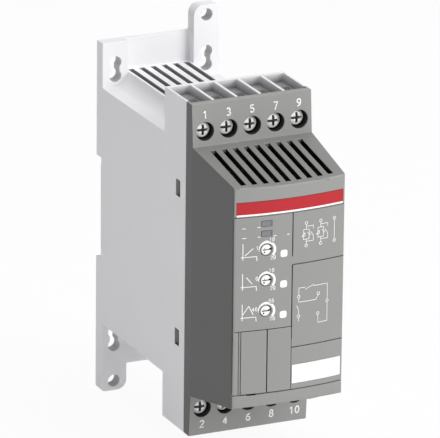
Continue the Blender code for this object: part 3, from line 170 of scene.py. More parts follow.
# Printed scale of a dial, with angles in degrees and the rest in millimetres: it widens from its
# start, thins at the notch for the middle figure, and drifts outwards towards its end
SCALE_START = 188
SCALE_TURN = 228
SCALE_STEPS = 36
SCALE_THIN = 0.16
SCALE_GROWTH = 0.80
SCALE_GROWTH_TURN = 100
SCALE_NOTCH = 0.48
SCALE_NOTCH_AT = 58
SCALE_NOTCH_REACH = 14
SCALE_INNER = 2.42
SCALE_DRIFT = 0.25
SCALE_DRIFT_FROM = 80
SCALE_DRIFT_TURN = 60
SCALE_SHIFT = 0.2

# Figures and white field beside a dial: x, and height over the dial's middle, in millimetres
SHORT_MARK = (-12.6, 1.0)
LONG_MARK = (-13.25, 1.0)
MIDDLE_MARK = (-7.35, 3.5)
LAST_MARK = (-6.85, -2.95)
MARK_HEIGHT = 1.35
MARK_LINE = 0.24
BADGE_PLACE = (-2.85, -1.95)
BADGE_SIZE = 2.55
BADGE_CORNER = 0.75

# Graphs of the settings, as (x, z) beside the uppermost dial, and the lines beside the lamps, each
# with its start, end and height, in millimetres
GRAPH_SLOPES = (((-16.9, 15.8), (-14.0, 18.2)), ((-16.35, 18.75), (-14.15, 16.1)),
                ((-17.45, 16.3), (-15.35, 19.3), (-13.75, 16.1)))
GRAPH_UPRIGHT = ((-17.62, 14.15), (-17.62, 20.1))
GRAPH_BASE = ((-18.3, 15.2), (-12.8, 15.2))
GRAPH_END = ((-12.8, 15.3), (-12.65, 13.6))
FIRST_GRAPH_DROP = 0.3
LAMP_LINES = ((-18.1, -16.75, 25.2), (-12.6, -11.6, 25.25), (-17.9, -16.45, 21.75),
              (-12.3, -11.6, 21.75), (-6.8, -5.7, 21.65), (-1.75, -0.85, 21.65))
LAMP_LINE = 0.28

# Wiring diagrams, as (x, z) in millimetres: x of a switched path's points is from the path's own line
THIN = 0.20
ARROW = 0.22
SWITCHED_PATHS = (5.46, 11.09)
SWITCHED_RINGS = (24.7, 16.6)
SWITCHED_LINES = (
    (((0, 24.2), (0, 22.6)), THIN),
    (((0, 23.5), (2.75, 23.5), (2.75, 22.3)), THIN),
    (((1.7, 21.4), (2.75, 19.9), (2.75, 18.1), (0, 18.1)), THIN),
    (((-1.1, 22.4), (1.1, 22.4), (1.1, 18.9), (-1.1, 18.9), (-1.1, 22.4)), THIN),
    (((-1.7, 20.0), (-0.5, 21.3), (-0.5, 20.1), (-1.7, 20.0)), ARROW),
    (((0.5, 21.3), (1.7, 20.2)), ARROW),
    (((0, 18.9), (0, 17.1)), THIN),
)
STRAIGHT_RINGS = ((16.52, 24.75), (16.59, 16.7))
STRAIGHT_LINE = ((16.52, 24.2), (16.59, 17.2))
CONTROL_LINES = (
    ((2.95, -1.0), (2.95, 1.6), (5.4, 1.62)),
    ((5.3, 0.8), (8.8, 2.2)),
    ((8.6, 1.65), (14.1, 1.62), (14.1, -4.1)),
    ((14.1, -5.2), (14.15, -11.9), (10.5, -11.95), (10.5, -9.2)),
    ((2.95, -2.1), (2.95, -3.5), (9.6, -3.5), (10.56, -1.9)),
    ((2.2, -4.6), (3.0, -6.4), (2.95, -8.1)),
    ((2.95, -9.1), (2.95, -10.4)),
)
CONTROL_RINGS = ((2.93, -1.5), (10.56, -1.4), (14.05, -4.65), (10.46, -8.6), (2.93, -8.6))


# Object handling

def only(obj):
    """Selects one object alone and makes it active."""
    bpy.ops.object.select_all(action="DESELECT")
    obj.hide_set(False)
    obj.select_set(True)
    bpy.context.view_layer.objects.active = obj
    return obj


def apply_modifiers(obj):
    only(obj)
    for step in list(obj.modifiers):
        bpy.ops.object.modifier_apply(modifier=step.name)
    return obj


def settle_place(obj):
    """Puts the object's place into its mesh and its origin at the frame's."""
    only(obj)
    bpy.ops.object.transform_apply(location=True, rotation=True, scale=True)
    return obj


def join(name, pieces):
    bpy.ops.object.select_all(action="DESELECT")
    for piece in pieces:
        piece.select_set(True)
    bpy.context.view_layer.objects.active = pieces[0]
    bpy.ops.object.join()
    joined = bpy.context.view_layer.objects.active
    joined.name = name
    return joined


def copy_of_node(node, name):
    """Copy of a CAD node with its loose triangles merged."""
    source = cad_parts[node]
    copy = bpy.data.objects.new(name, source.data.copy())
    bpy.context.scene.collection.objects.link(copy)
    copy.data.materials.clear()
    only(copy)
    bpy.ops.object.mode_set(mode="EDIT")
    bpy.ops.mesh.select_all(action="SELECT")
    bpy.ops.mesh.remove_doubles(threshold=0.002 * MM)
    bpy.ops.mesh.customdata_custom_splitnormals_clear()
    bpy.ops.object.mode_set(mode="OBJECT")
    return copy


def smooth(obj, degrees=HARD_ANGLE):
    """Smooth shading, but crisp at hard edges and where two flats meet at a small angle."""
    only(obj)
    bpy.ops.object.shade_smooth_by_angle(angle=math.radians(degrees))
    bm = bmesh.new()
    bm.from_mesh(obj.data)
    least, most = (math.radians(angle) for angle in FAINT_ANGLES)
    for edge in bm.edges:
        if len(edge.link_faces) == 2 and least < edge.calc_face_angle() < most:
            edge.smooth = False
    bm.to_mesh(obj.data)
    bm.free()
    return obj


def keep_flats(obj):
    """Shades each flat as a flat, so that only the rounded edges turn the light."""
    step = obj.modifiers.new("flats", "WEIGHTED_NORMAL")
    step.weight = 100
    step.keep_sharp = True
    apply_modifiers(obj)
    normals = [loop.normal.copy() for loop in obj.data.loops]
    for face in obj.data.polygons:
        level = abs(face.normal.x) < 0.001 or abs(face.normal.x) > 0.9999
        square = max(abs(share) for share in face.normal) > 0.99999
        large = face.area > LARGE_FLAT * MM * MM
        if large or level and face.area > LEVEL_FLAT * MM * MM or square:
            face.use_smooth = False
            for i in face.loop_indices:
                normals[i] = face.normal.copy()
    obj.data.normals_split_custom_set(normals)
    return obj


def soft_edges(obj, width):
    """Rounds the hard edges a little."""
    smooth(obj)
    bevel = obj.modifiers.new("soft_edges", "BEVEL")
    bevel.width = width * MM
    bevel.segments = 2
    bevel.limit_method = "ANGLE"
    bevel.angle_limit = math.radians(HARD_ANGLE)
    bevel.use_clamp_overlap = False
    bevel.miter_outer = "MITER_ARC"
    apply_modifiers(obj)
    return keep_flats(obj)


def carve(obj, tools, operation="DIFFERENCE"):
    """Cuts a piece with the tools, one after another, and removes them."""
    for tool in tools:
        step = obj.modifiers.new("carve", "BOOLEAN")
        step.object = tool
        step.operation = operation
        step.solver = "EXACT"
    apply_modifiers(obj)
    for tool in tools:
        bpy.data.objects.remove(tool, do_unlink=True)
    return obj


def pin_y(x, z, radius, start_y, end_y):
    """Round tool along Y, in millimetres."""
    bpy.ops.object.select_all(action="DESELECT")
    bpy.ops.mesh.primitive_cylinder_add(vertices=20, radius=radius * MM, depth=(end_y - start_y) * MM,
                                        location=(x * MM, (start_y + end_y) / 2 * MM, z * MM),
                                        rotation=(math.pi / 2, 0, 0))
    return settle_place(bpy.context.view_layer.objects.active)


def put(obj, body, slot, materials, *nodes):
    """Hands a finished piece to its body, with its finish and what it stands for."""
    obj.data.materials.clear()
    for material in materials:
        obj.data.materials.append(material)
    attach(obj, body)
    if nodes:
        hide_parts(*nodes)
    return obj


def dress_node(node, material):
    """Gives a CAD node that is shown as it is its finish."""
    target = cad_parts[node]
    target.data.materials.clear()
    target.data.materials.append(material)


def paint_faces(obj, index, picked):
    """Gives the faces that pass the test the material at that index.

    The test gets a face's centre in millimetres and its normal.
    """
    for face in obj.data.polygons:
        if picked(face.center / MM, face.normal):
            face.material_index = index
    return obj


# Shared effects

def new_group(name, inputs, outputs):
    group = bpy.data.node_groups.new(name, "ShaderNodeTree")
    for label, kind, value in inputs:
        socket = group.interface.new_socket(label, in_out="INPUT", socket_type=kind)
        socket.default_value = value
    for label, kind in outputs:
        group.interface.new_socket(label, in_out="OUTPUT", socket_type=kind)
    return group, group.nodes.new("NodeGroupInput"), group.nodes.new("NodeGroupOutput")


def noise(tree, place, scale, detail=2.0, roughness=0.5):
    node = tree.nodes.new("ShaderNodeTexNoise")
    node.inputs["Scale"].default_value = scale
    node.inputs["Detail"].default_value = detail
    node.inputs["Roughness"].default_value = roughness
    tree.links.new(place, node.inputs["Vector"])
    return node


def feed(tree, value, socket):
    """Links a node's output to a socket, or sets a plain value on it."""
    if isinstance(value, (int, float, tuple)):
        socket.default_value = value
    else:
        tree.links.new(value, socket)


def maths(tree, operation, first, second=0.0):
    node = tree.nodes.new("ShaderNodeMath")
    node.operation = operation
    feed(tree, first, node.inputs[0])
    feed(tree, second, node.inputs[1])
    return node.outputs[0]


def remap(tree, value, low, high, to_low, to_high):
    node = tree.nodes.new("ShaderNodeMapRange")
    feed(tree, value, node.inputs["Value"])
    feed(tree, low, node.inputs["From Min"])
    feed(tree, high, node.inputs["From Max"])
    feed(tree, to_low, node.inputs["To Min"])
    feed(tree, to_high, node.inputs["To Max"])
    return node.outputs["Result"]


def blend_colours(tree, factor, first, second):
    node = tree.nodes.new("ShaderNodeMix")
    node.data_type = "RGBA"
    feed(tree, factor, node.inputs["Factor"])
    feed(tree, first, node.inputs["A"])
    feed(tree, second, node.inputs["B"])
    return node.outputs["Result"]


def moulded_group():
    """Spark-eroded mould texture with slow changes of tone, for the plastics.

    Shade Colour is a painted shade for recesses that the daylight doesn't reach: it takes over between two
    heights, the same above and below the middle.
    """
    inputs = (("Colour", "NodeSocketColor", (0.5, 0.5, 0.5, 1)),
              ("Deep Colour", "NodeSocketColor", (0.4, 0.4, 0.4, 1)),
              ("Shade Colour", "NodeSocketColor", (0.2, 0.2, 0.2, 1)),
              ("Shade Height", "NodeSocketFloat", -1.0), ("Light Height", "NodeSocketFloat", -0.9),
              ("Grain Size", "NodeSocketFloat", 0.00025), ("Smooth Roughness", "NodeSocketFloat", 0.4),
              ("Rough Roughness", "NodeSocketFloat", 0.55))
    outputs = (("Colour", "NodeSocketColor"), ("Roughness", "NodeSocketFloat"), ("Height", "NodeSocketFloat"))
    group, given, out = new_group("moulded_skin", inputs, outputs)
    place = group.nodes.new("ShaderNodeTexCoord").outputs["Object"]
    slow = noise(group, place, 38.0, 3.0)
    fine = maths(group, "DIVIDE", 1.0, given.outputs["Grain Size"])
    pits = group.nodes.new("ShaderNodeTexVoronoi")
    group.links.new(fine, pits.inputs["Scale"])
    group.links.new(place, pits.inputs["Vector"])
    grain = noise(group, place, 1.0, 3.0, 0.6)
    group.links.new(maths(group, "MULTIPLY", fine, 0.7), grain.inputs["Scale"])
    pitting = maths(group, "MULTIPLY", pits.outputs["Distance"], 0.6)
    height = maths(group, "ADD", pitting, grain.outputs["Fac"])
    drift = remap(group, slow.outputs["Fac"], 0.35, 0.65, 0.0, 1.0)
    speck = remap(group, height, 0.4, 1.3, 0.35, 0.0)
    factor = maths(group, "MINIMUM", maths(group, "ADD", maths(group, "MULTIPLY", drift, 0.35), speck), 1.0)
    tone = blend_colours(group, factor, given.outputs["Colour"], given.outputs["Deep Colour"])
    axes = group.nodes.new("ShaderNodeSeparateXYZ")
    group.links.new(place, axes.inputs["Vector"])
    rise = maths(group, "ABSOLUTE", axes.outputs["Z"])
    lit = remap(group, rise, given.outputs["Shade Height"], given.outputs["Light Height"], 0.0, 1.0)
    tone = blend_colours(group, lit, given.outputs["Shade Colour"], tone)
    rough = remap(group, height, 0.4, 1.3, given.outputs["Rough Roughness"],
                  given.outputs["Smooth Roughness"])
    group.links.new(tone, out.inputs["Colour"])
    group.links.new(rough, out.inputs["Roughness"])
    group.links.new(height, out.inputs["Height"])
    return group


def metal_group():
    """Plating with fine drawn lines and cloudy patches, for the fasteners and bars."""
    inputs = (("Colour", "NodeSocketColor", (0.7, 0.7, 0.7, 1)),
              ("Cloud Colour", "NodeSocketColor", (0.6, 0.6, 0.6, 1)),
              ("Line Size", "NodeSocketFloat", 0.0001), ("Bright Roughness", "NodeSocketFloat", 0.2),
              ("Dull Roughness", "NodeSocketFloat", 0.4))
    outputs = (("Colour", "NodeSocketColor"), ("Roughness", "NodeSocketFloat"), ("Height", "NodeSocketFloat"))
    group, given, out = new_group("plated_metal", inputs, outputs)
    place = group.nodes.new("ShaderNodeTexCoord").outputs["Object"]
    stretch = group.nodes.new("ShaderNodeMapping")
    stretch.inputs["Scale"].default_value = (1.0, 0.08, 1.0)
    group.links.new(place, stretch.inputs["Vector"])
    lines = noise(group, stretch.outputs["Vector"], 1.0, 2.0)
    group.links.new(maths(group, "DIVIDE", 1.0, given.outputs["Line Size"]), lines.inputs["Scale"])
    cloud = noise(group, place, 420.0, 3.0)
    factor = remap(group, cloud.outputs["Fac"], 0.35, 0.65, 0.0, 1.0)
    tone = blend_colours(group, factor, given.outputs["Colour"], given.outputs["Cloud Colour"])
    streak = maths(group, "MULTIPLY", lines.outputs["Fac"], 0.6)
    mixed = maths(group, "ADD", streak, maths(group, "MULTIPLY", factor, 0.4))
    rough = remap(group, mixed, 0.2, 0.8, given.outputs["Bright Roughness"], given.outputs["Dull Roughness"])
    group.links.new(tone, out.inputs["Colour"])
    group.links.new(rough, out.inputs["Roughness"])
    group.links.new(lines.outputs["Fac"], out.inputs["Height"])
    return group


MOULDED = moulded_group()
PLATED = metal_group()


# Finishes

def rgba(colour, share=1.0):
    return tuple(value * share for value in colour) + (1.0,)


def finish(name, group, values, bump, distance, **shader_values):
    """Material whose colour, roughness and bump come from one of the shared effects."""
    material = bpy.data.materials.new(name)
    material.use_nodes = True
    tree = material.node_tree
    shader = tree.nodes["Principled BSDF"]
    effect = tree.nodes.new("ShaderNodeGroup")
    effect.node_tree = group
    for label, value in values.items():
        effect.inputs[label].default_value = value
    relief = tree.nodes.new("ShaderNodeBump")
    relief.inputs["Strength"].default_value = bump
    relief.inputs["Distance"].default_value = distance * MM
    tree.links.new(effect.outputs["Height"], relief.inputs["Height"])
    tree.links.new(relief.outputs["Normal"], shader.inputs["Normal"])
    tree.links.new(effect.outputs["Colour"], shader.inputs["Base Color"])
    tree.links.new(effect.outputs["Roughness"], shader.inputs["Roughness"])
    for label, value in shader_values.items():
        shader.inputs[label.replace("_", " ")].default_value = value
    return material


def plastic(name, colour, deep=0.9, grain=0.25, rough=(0.4, 0.55), bump=0.25, gloss=0.35, shade=None):
    """Moulded plastic. Shade gives the colour of a recess's painted shade and the two heights between which
    it fades in.
    """
    values = {"Colour": rgba(colour), "Deep Colour": rgba(colour, deep), "Grain Size": grain * MM,
              "Smooth Roughness": rough[0], "Rough Roughness": rough[1]}
    if shade:
        values["Shade Colour"] = rgba(shade[0])
        values["Shade Height"] = shade[1] * MM
        values["Light Height"] = shade[2] * MM
    return finish(name, MOULDED, values, bump, 0.02, Specular_IOR_Level=gloss)


def metal(name, colour, cloud=0.85, line=0.1, bright=0.2, dull=0.4, bump=0.2, share=1.0):
    values = {"Colour": rgba(colour), "Cloud Colour": rgba(colour, cloud), "Line Size": line * MM,
              "Bright Roughness": bright, "Dull Roughness": dull}
    return finish(name, PLATED, values, bump, 0.01, Metallic=share)


LIGHT = (0.882, 0.880, 0.900)
SHELL_LIGHT = plastic("shell_light", LIGHT, 0.96)
# Painted shade: the pockets' light plastic turns grey towards their floors
POCKET_PAINTED_SHADE = plastic("pocket_painted_shade", LIGHT, 0.96, shade=((0.30, 0.30, 0.305), POCKET_FLOOR_Z, HALF_HEIGHT))
# Painted shade: dark grey in the funnels, wire ways and cage cells below the pockets
CELL_PAINTED_SHADE = plastic("cell_painted_shade", (0.26, 0.26, 0.262), 0.9)
FRONT_GREY = plastic("front_grey", (0.302, 0.301, 0.292), 0.94)
# Painted shade: the slopes of the nose in a darker copy of the front grey
SLOPE_PAINTED_SHADE = plastic("slope_painted_shade", (0.222, 0.221, 0.215), 0.94)
FLANK_GREY = plastic("flank_grey", (0.129, 0.129, 0.129), 0.92, gloss=0.2)
# Painted shade: grey in the level seams and on the rear ends of the nose's slots
SEAM_PAINTED_SHADE = plastic("seam_painted_shade", (0.20, 0.20, 0.196), 0.9, gloss=0.1)
# Painted light: the walls of the dial and light-guide holes in a grey paler than the front
RIM_PAINTED_LIGHT = plastic("rim_painted_light", (0.60, 0.60, 0.59), 0.95, gloss=0.1)
# Painted shadow: near black on the walls of the terminals' driver holes
DRIVER_HOLE_PAINTED_SHADE = plastic("driver_hole_painted_shade", (0.045, 0.045, 0.045), 0.9, gloss=0.1)
# Painted shade: the walls of the keyholes and ear holes greyer than the light shell
FIXING_HOLE_PAINTED_SHADE = plastic("fixing_hole_painted_shade", (0.62, 0.62, 0.628), 0.96)
# Painted shade: grey on the walls and rims of the roof slots and on the snap windows' rear walls
SLOT_WALL_PAINTED_SHADE = plastic("slot_wall", (0.36, 0.36, 0.36), 0.92, gloss=0.1)
# Painted shade: dark inside the rear housing, behind its slots and windows
ROOM_PAINTED_SHADE = plastic("room_painted_shade", (0.10, 0.10, 0.10), 0.9, gloss=0.1)
# Painted shadow: black beneath the front's skin, in the dials' pits and in the cover's grip line
INSIDE_PAINTED_SHADE = plastic("inside_painted_shade", (0.012, 0.012, 0.012), 0.8, gloss=0.05)
PRINT_WHITE = plastic("print_white", (0.97, 0.97, 0.97), 0.98, 0.12, (0.45, 0.55), 0.1)
STRIP_RED = plastic("strip_red", (0.485, 0.020, 0.028), 0.94, 0.15, (0.35, 0.45), 0.1, 0.3)
MARKER_WHITE = plastic("marker_white", (0.92, 0.92, 0.92), 0.98, 0.15, (0.35, 0.45), 0.1)
DIAL_WHITE = plastic("dial_white", (0.93, 0.93, 0.93), 0.97, 0.15, (0.35, 0.5), 0.1)
# Painted shade: grey in the dials' slots and down their sides
DIAL_SHADE = plastic("dial_shade", (0.32, 0.32, 0.32), 0.9, gloss=0.1)
TRIMMER_BLUE = plastic("trimmer_blue", (0.05, 0.11, 0.32), 0.85)
GUIDE_SMOKE = plastic("guide_smoke", (0.215, 0.222, 0.240), 0.95, 0.3, (0.2, 0.3), 0.1, 0.2)
LAMP_EPOXY = plastic("lamp_epoxy", (0.55, 0.6, 0.42), 0.9, 0.2, (0.1, 0.2))
BOARD_GREEN = plastic("board_green", (0.010, 0.055, 0.022), 0.7, 0.6, (0.35, 0.5), 0.3, 0.2)
BLACK_MOULDED = plastic("black_moulded", (0.022, 0.022, 0.023), 0.75)
RELAY_CASE = plastic("relay_case", (0.05, 0.056, 0.07), 0.85)
LAMINATIONS = plastic("laminations", (0.08, 0.075, 0.072), 0.7, 0.5, (0.4, 0.7), 0.6)
ZINC = metal("bright_zinc", (0.99, 0.99, 0.985), 0.99, 0.3, 0.22, 0.32, 0.02, 0.1)
# Painted shade: dark in the screws' cross recesses and slots and round their heads
RECESS_PAINTED_SHADE = metal("recess_shade", (0.05, 0.049, 0.047), 0.8, 0.2, 0.45, 0.6, 0.05, 0.4)
TINNED = metal("tinned_copper", (0.74, 0.71, 0.66), 0.85, 0.15, 0.22, 0.42)
ALUMINIUM = metal("extruded_aluminium", (0.72, 0.725, 0.73), 0.88, 0.3, 0.3, 0.5)


# Outer skin

def face_depth(x):
    """Y of the crowned front at x, both in millimetres."""
    return -math.sqrt(CROWN_RADIUS ** 2 - x * x)


def terminal_depth(z):
    """Y of a terminal face at a height z, both in millimetres."""
    share = (HALF_HEIGHT - abs(z)) / (HALF_HEIGHT - SHOULDER_Z)
    return FACE_TOP_Y + (FACE_LOW_Y - FACE_TOP_Y) * share


def nose_share(y):
    """0 at the nose's root and 1 at its corners."""
    return (FACE_LOW_Y - y) / (FACE_LOW_Y - face_depth(NOSE_HALF_WIDTH))


def slope_height(y):
    """Half height of the nose at a depth y."""
    return SHOULDER_Z + (NOSE_Z - SHOULDER_Z) * nose_share(y)


def front_skin(point):
    """How far a point of the front housing lies beneath its outer skin."""
    wide = HALF_WIDTH + (NOSE_HALF_WIDTH - HALF_WIDTH) * max(0.0, nose_share(point.y))
    side = wide - abs(point.x)
    if point.y < FACE_LOW_Y:
        return min(side, point.y - face_depth(point.x), slope_height(point.y) - abs(point.z))
    if abs(point.z) > SHOULDER_Z - SKIN:
        return min(side, point.y - terminal_depth(point.z), HALF_HEIGHT - abs(point.z))
    return side


def in_rear_cavity(point):
    """True inside the rear housing, in its roof slots and in its snap windows."""
    x, y, z = abs(point.x), point.y, abs(point.z)
    if y < SPLIT_Y or y > REAR_LIP_Y:
        return False
    between_coves = x < EAR_INNER_X - SKIN and COVE_FLOOR_Z - SKIN <= z < ROOF_Z - SKIN and y > BLOCK_BACK_Y
    room = x < HALF_WIDTH - SKIN and z < COVE_FLOOR_Z - SKIN and y < ROOM_BACK_Y
    return between_coves or room


def on_slot_wall(point, normal):
    """True on the walls and rims of the roof's slots and on the rear walls of the snap windows."""
    x, y, z = abs(point.x), point.y, abs(point.z)
    between = x < EAR_INNER_X - SKIN and BLOCK_BACK_Y < y < REAR_LIP_Y
    roof = between and COVE_FLOOR_Z - SKIN < z < ROOF_Z + SLACK
    beside = x > SNAP_WALL_X and abs(z - SNAP_WINDOW_Z) < SNAP_WINDOW_HALF
    window = normal.y < -0.9 and abs(y - SNAP_WINDOW_Y) < 0.3 and beside
    return roof and normal.z * point.z < 0.97 * z or window


def in_mounting_hole(point, normal):
    """True on the walls of the keyholes and of the ear holes."""
    x, y, z = abs(point.x), point.y, abs(point.z)
    hole = any(low < z < high for low, high in (KEYHOLE_HEIGHTS, EAR_HOLE_HEIGHTS))
    near = y > WALL_HOLE_FRONT_Y and abs(x - WALL_HOLE_X) < WALL_HOLE_REACH
    return near and hole and abs(normal.y) < 0.3


def in_pocket(point, normal):
    """True on the walls and floor of a wire pocket, above the funnels."""
    x, y, z = abs(point.x), point.y, abs(point.z)
    inner = x < HALF_WIDTH - POCKET_WALL and POCKET_FLOOR_Z - SKIN < z < HALF_HEIGHT - SKIN
    return inner and FACE_TOP_Y < y < BLOCK_BACK_Y - POCKET_WALL


def under_pocket(point, normal):
    """True in the funnels, wire ways and cage cells below the pockets."""
    x, y, z = abs(point.x), point.y, abs(point.z)
    inner = x < HALF_WIDTH - POCKET_WALL and ROOF_Z - CELL_DROP < z <= POCKET_FLOOR_Z - SKIN
    return inner and SPLIT_Y - CELL_REACH < y < BLOCK_BACK_Y - POCKET_WALL


# Housings

def build_rear_housing():
    """Light shell, with painted shade: pockets that darken downwards, darker cells below them, grey walls in
    the slots and holes, and a dark inside behind the slots.
    """
    shell = copy_of_node("base_housing", "rear_shell")
    soft_edges(shell, HOUSING_EDGE)
    materials = [SHELL_LIGHT, ROOM_PAINTED_SHADE, POCKET_PAINTED_SHADE, CELL_PAINTED_SHADE, SLOT_WALL_PAINTED_SHADE, FIXING_HOLE_PAINTED_SHADE]
    put(shell, "housing", "light_plastic", materials, "base_housing")
    # Painted shade on the walls and floors of the wire pockets
    paint_faces(shell, 2, in_pocket)
    # Painted shade in the funnels, wire ways and cage cells
    paint_faces(shell, 3, under_pocket)
    # Painted shade inside the rear housing
    paint_faces(shell, 1, lambda point, normal: in_rear_cavity(point))
    # Painted shade on the roof slots' walls and rims and the snap windows' rear walls
    paint_faces(shell, 4, on_slot_wall)
    # Painted shade on the walls of the keyholes and ear holes
    return paint_faces(shell, 5, in_mounting_hole)


def in_setting_hole(point):
    """True on the walls of the holes of the dials and of the light guides."""
    return SKIN < front_skin(point) < FRONT_HOLE_DEPTH and near_setting(point)


def near_setting(point):
    """True beside the middle of a dial or of a light guide, at any depth."""
    beside = abs(point.x - SETTING_X)
    dial = any(math.hypot(beside, point.z - height) < DIAL_RING for height in DIAL_HEIGHTS)
    level = any(abs(point.z - height) < GUIDE_HALF_HEIGHT for height in GUIDE_HEIGHTS)
    return dial or beside < GUIDE_HALF_WIDTH and level


def on_slope(point, normal):
    """True on the two slopes of the nose."""
    return point.y < FACE_LOW_Y and normal.z * point.z > 0.8 * abs(point.z)


def on_flank(point, normal):
    """True on the side walls of the front."""
    return normal.x * point.x > 0.9 * abs(point.x) and abs(point.x) > FLANK_X


def build_front_shell():
    """Grey front, with darker flanks; painted shade darkens the slopes and the slots, screw holes and panel
    lines, and painted light pales the walls of the setting holes.
    """
    shell = copy_of_node("front_housing", "front_shell")
    carve(shell, [crown_cutter(sign, lean) for sign in (1, -1) for lean in CROWN_LEANS], "INTERSECT")
    only(shell)
    bpy.ops.object.mode_set(mode="EDIT")
    bpy.ops.mesh.select_all(action="SELECT")
    bpy.ops.mesh.quads_convert_to_tris()
    bpy.ops.object.mode_set(mode="OBJECT")
    soft_edges(shell, HOUSING_EDGE)
    materials = [FRONT_GREY, FLANK_GREY, SLOPE_PAINTED_SHADE, INSIDE_PAINTED_SHADE, SEAM_PAINTED_SHADE, RIM_PAINTED_LIGHT, DRIVER_HOLE_PAINTED_SHADE]
    put(shell, "housing", "grey_plastic", materials, "front_housing")
    # Painted shade on the slopes
    paint_faces(shell, 2, on_slope)
    paint_faces(shell, 1, on_flank)
    # Painted shadow on every face beneath the skin
    paint_faces(shell, 3, lambda point, normal: front_skin(point) > SKIN)
    # Painted shadow on the driver holes' walls
    paint_faces(shell, 6, in_screw_hole)
    paint_faces(shell, 1, on_snap_nib)
    # Painted shade in the level seams and on the slots' rear ends
    paint_faces(shell, 4, lambda point, normal: front_skin(point) > SKIN and in_pale_recess(point, normal))
    # Painted light on the walls of the setting holes
    paint_faces(shell, 5, lambda point, normal: in_setting_hole(point))
    return shell


def crown_cutter(sign, lean):
    """Wide cone round the crown's axis, skewed along a slope, that takes off its sharp front edge."""
    turn = math.radians(lean)
    half = math.radians(CROWN_TURN / 2)
    depth = CROWN_ROUND * (math.cos(half - math.radians(CROWN_LEANS[0])) / math.cos(half) - 1)
    low, high = CUTTER_ENDS
    radii = [(CROWN_RADIUS - depth / math.cos(turn) - z * math.tan(turn)) * MM for z in CUTTER_ENDS]
    bpy.ops.object.select_all(action="DESELECT")
    bpy.ops.mesh.primitive_cone_add(vertices=CUTTER_SIDES, radius1=radii[0 if sign > 0 else 1],
                                    radius2=radii[1 if sign > 0 else 0], depth=(high - low) * MM,
                                    location=(0, 0, (low + high) / 2 * sign * MM))
    tool = settle_place(bpy.context.view_layer.objects.active)
    for vert in tool.data.vertices:
        vert.co.z += sign * slope_height(vert.co.y / MM) * MM
    return tool


def terminal_x(pole):
    """X of a pole's terminals, in millimetres; the poles count from 0."""
    return (pole - TERMINALS // 2) * TERMINAL_PITCH


def in_screw_hole(point, normal):
    """True on the walls of the driver holes of the terminals, down to the screws' heads."""
    near = min(abs(point.x - terminal_x(pole)) for pole in range(TERMINALS))
    below = SKIN < point.y - terminal_depth(point.z) < FRONT_HOLE_DEPTH
    return below and math.hypot(near, abs(point.z) - SCREW_Z) < DRIVER_HOLE_REACH


def on_snap_nib(point, normal):
    """True on the faces of the snap tongues that show in the side windows."""
    tongue = point.y > SPLIT_Y + SNAP_NIB_BACK and abs(point.x) > SNAP_NIB_X
    return tongue and normal.x * point.x > 0.5 * abs(point.x)


def in_pale_recess(point, normal):
    """True in the level seams and on the rear ends of the nose's slots, where a grey painted shade goes."""
    level = any(abs(point.z - height) < SEAM_REACH for height in LEVEL_SEAMS)
    seam = front_skin(point) < SEAM_DEPTH and level
    slot_end = normal.y < -0.9 and abs(point.y - (FACE_LOW_Y - NOSE_SLOT_END)) < 0.4
    return seam or slot_end


def build_cover():
    """Connector cover, with painted shade in its grip line."""
    cover = copy_of_node("connector_cover", "port_cover")
    soft_edges(cover, PANEL_EDGE)
    put(cover, "connector_cover", "grey_plastic", [FRONT_GREY, INSIDE_PAINTED_SHADE], "connector_cover")
    # Painted shadow in the grip line
    return paint_faces(cover, 1, lambda point, normal: point.y - face_depth(point.x) > GRIP_DEPTH)


def build_title_strip():
    """Red strip with a white line along its lower edge."""
    strip = copy_of_node("title_strip", "red_strip")
    only(strip)
    bpy.ops.object.mode_set(mode="EDIT")
    bpy.ops.mesh.select_all(action="SELECT")
    bpy.ops.mesh.bisect(plane_co=(0, 0, STRIP_LINE_Z * MM), plane_no=(0, 0, 1))
    bpy.ops.object.mode_set(mode="OBJECT")
    smooth(strip)
    put(strip, "housing", "strip_red", [STRIP_RED, PRINT_WHITE], "title_strip")
    return paint_faces(strip, 1, lambda point, normal: point.z < STRIP_LINE_Z)


def build_marker():
    plate = copy_of_node("marker_plate", "marker_card")
    soft_edges(plate, PANEL_EDGE)
    return put(plate, "housing", "marker_white", [MARKER_WHITE], "marker_plate")


def build_latch():
    latch = copy_of_node("rail_latch", "foot_latch")
    soft_edges(latch, LATCH_EDGE)
    return put(latch, "rail_latch", "light_plastic", [SHELL_LIGHT], "rail_latch")


def build_latch_spring():
    """Coil spring of the latch, shown at rest; the real one is pressed together as the latch is pulled down.
    """
    coil = copy_of_node("latch_spring", "latch_coil")
    smooth(coil, SPRING_ANGLE)
    put(coil, "housing", "zinc_steel", [ZINC], "latch_spring")
    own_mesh(coil)
    return coil


# Terminals

def build_screws():
    """Pan-head clamp screws with a cross recess and a straight slot."""
    for terminal in range(1, 2 * TERMINALS + 1):
        node = f"terminal_screw_{terminal}"
        screw = copy_of_node(node, f"clamp_screw_{terminal}")
        soft_edges(screw, SCREW_EDGE)
        put(screw, node, "zinc_steel", [ZINC, RECESS_PAINTED_SHADE], node)
        centre_x = terminal_x((terminal - 1) // 2)
        centre_z = SCREW_Z if terminal % 2 else -SCREW_Z
        # Painted shade in the recess and slot and round the head
        paint_faces(screw, 1, lambda point, normal: shaded_on_screw(point, centre_x, centre_z))


def shaded_on_screw(point, centre_x, centre_z):
    """True in the cross recess, in the straight slot and round the side of the head, which get painted shade.
    """
    out = math.hypot(point.x - centre_x, point.z - centre_z)
    beneath = point.y - SCREW_TOP_Y - SCREW_CROWN * out * out
    recess = beneath > RECESS_START and out < RECESS_RADIUS
    along = abs(point.z - centre_z) < DRIVER_SLOT_HALF and out < DRIVER_SLOT_RADIUS
    slot = along and beneath > DRIVER_SLOT_START and point.y < SCREW_TOP_Y + DRIVER_SLOT_DEPTH
    return recess or slot or point.y > SCREW_TOP_Y + SCREW_SIDE


# Settings

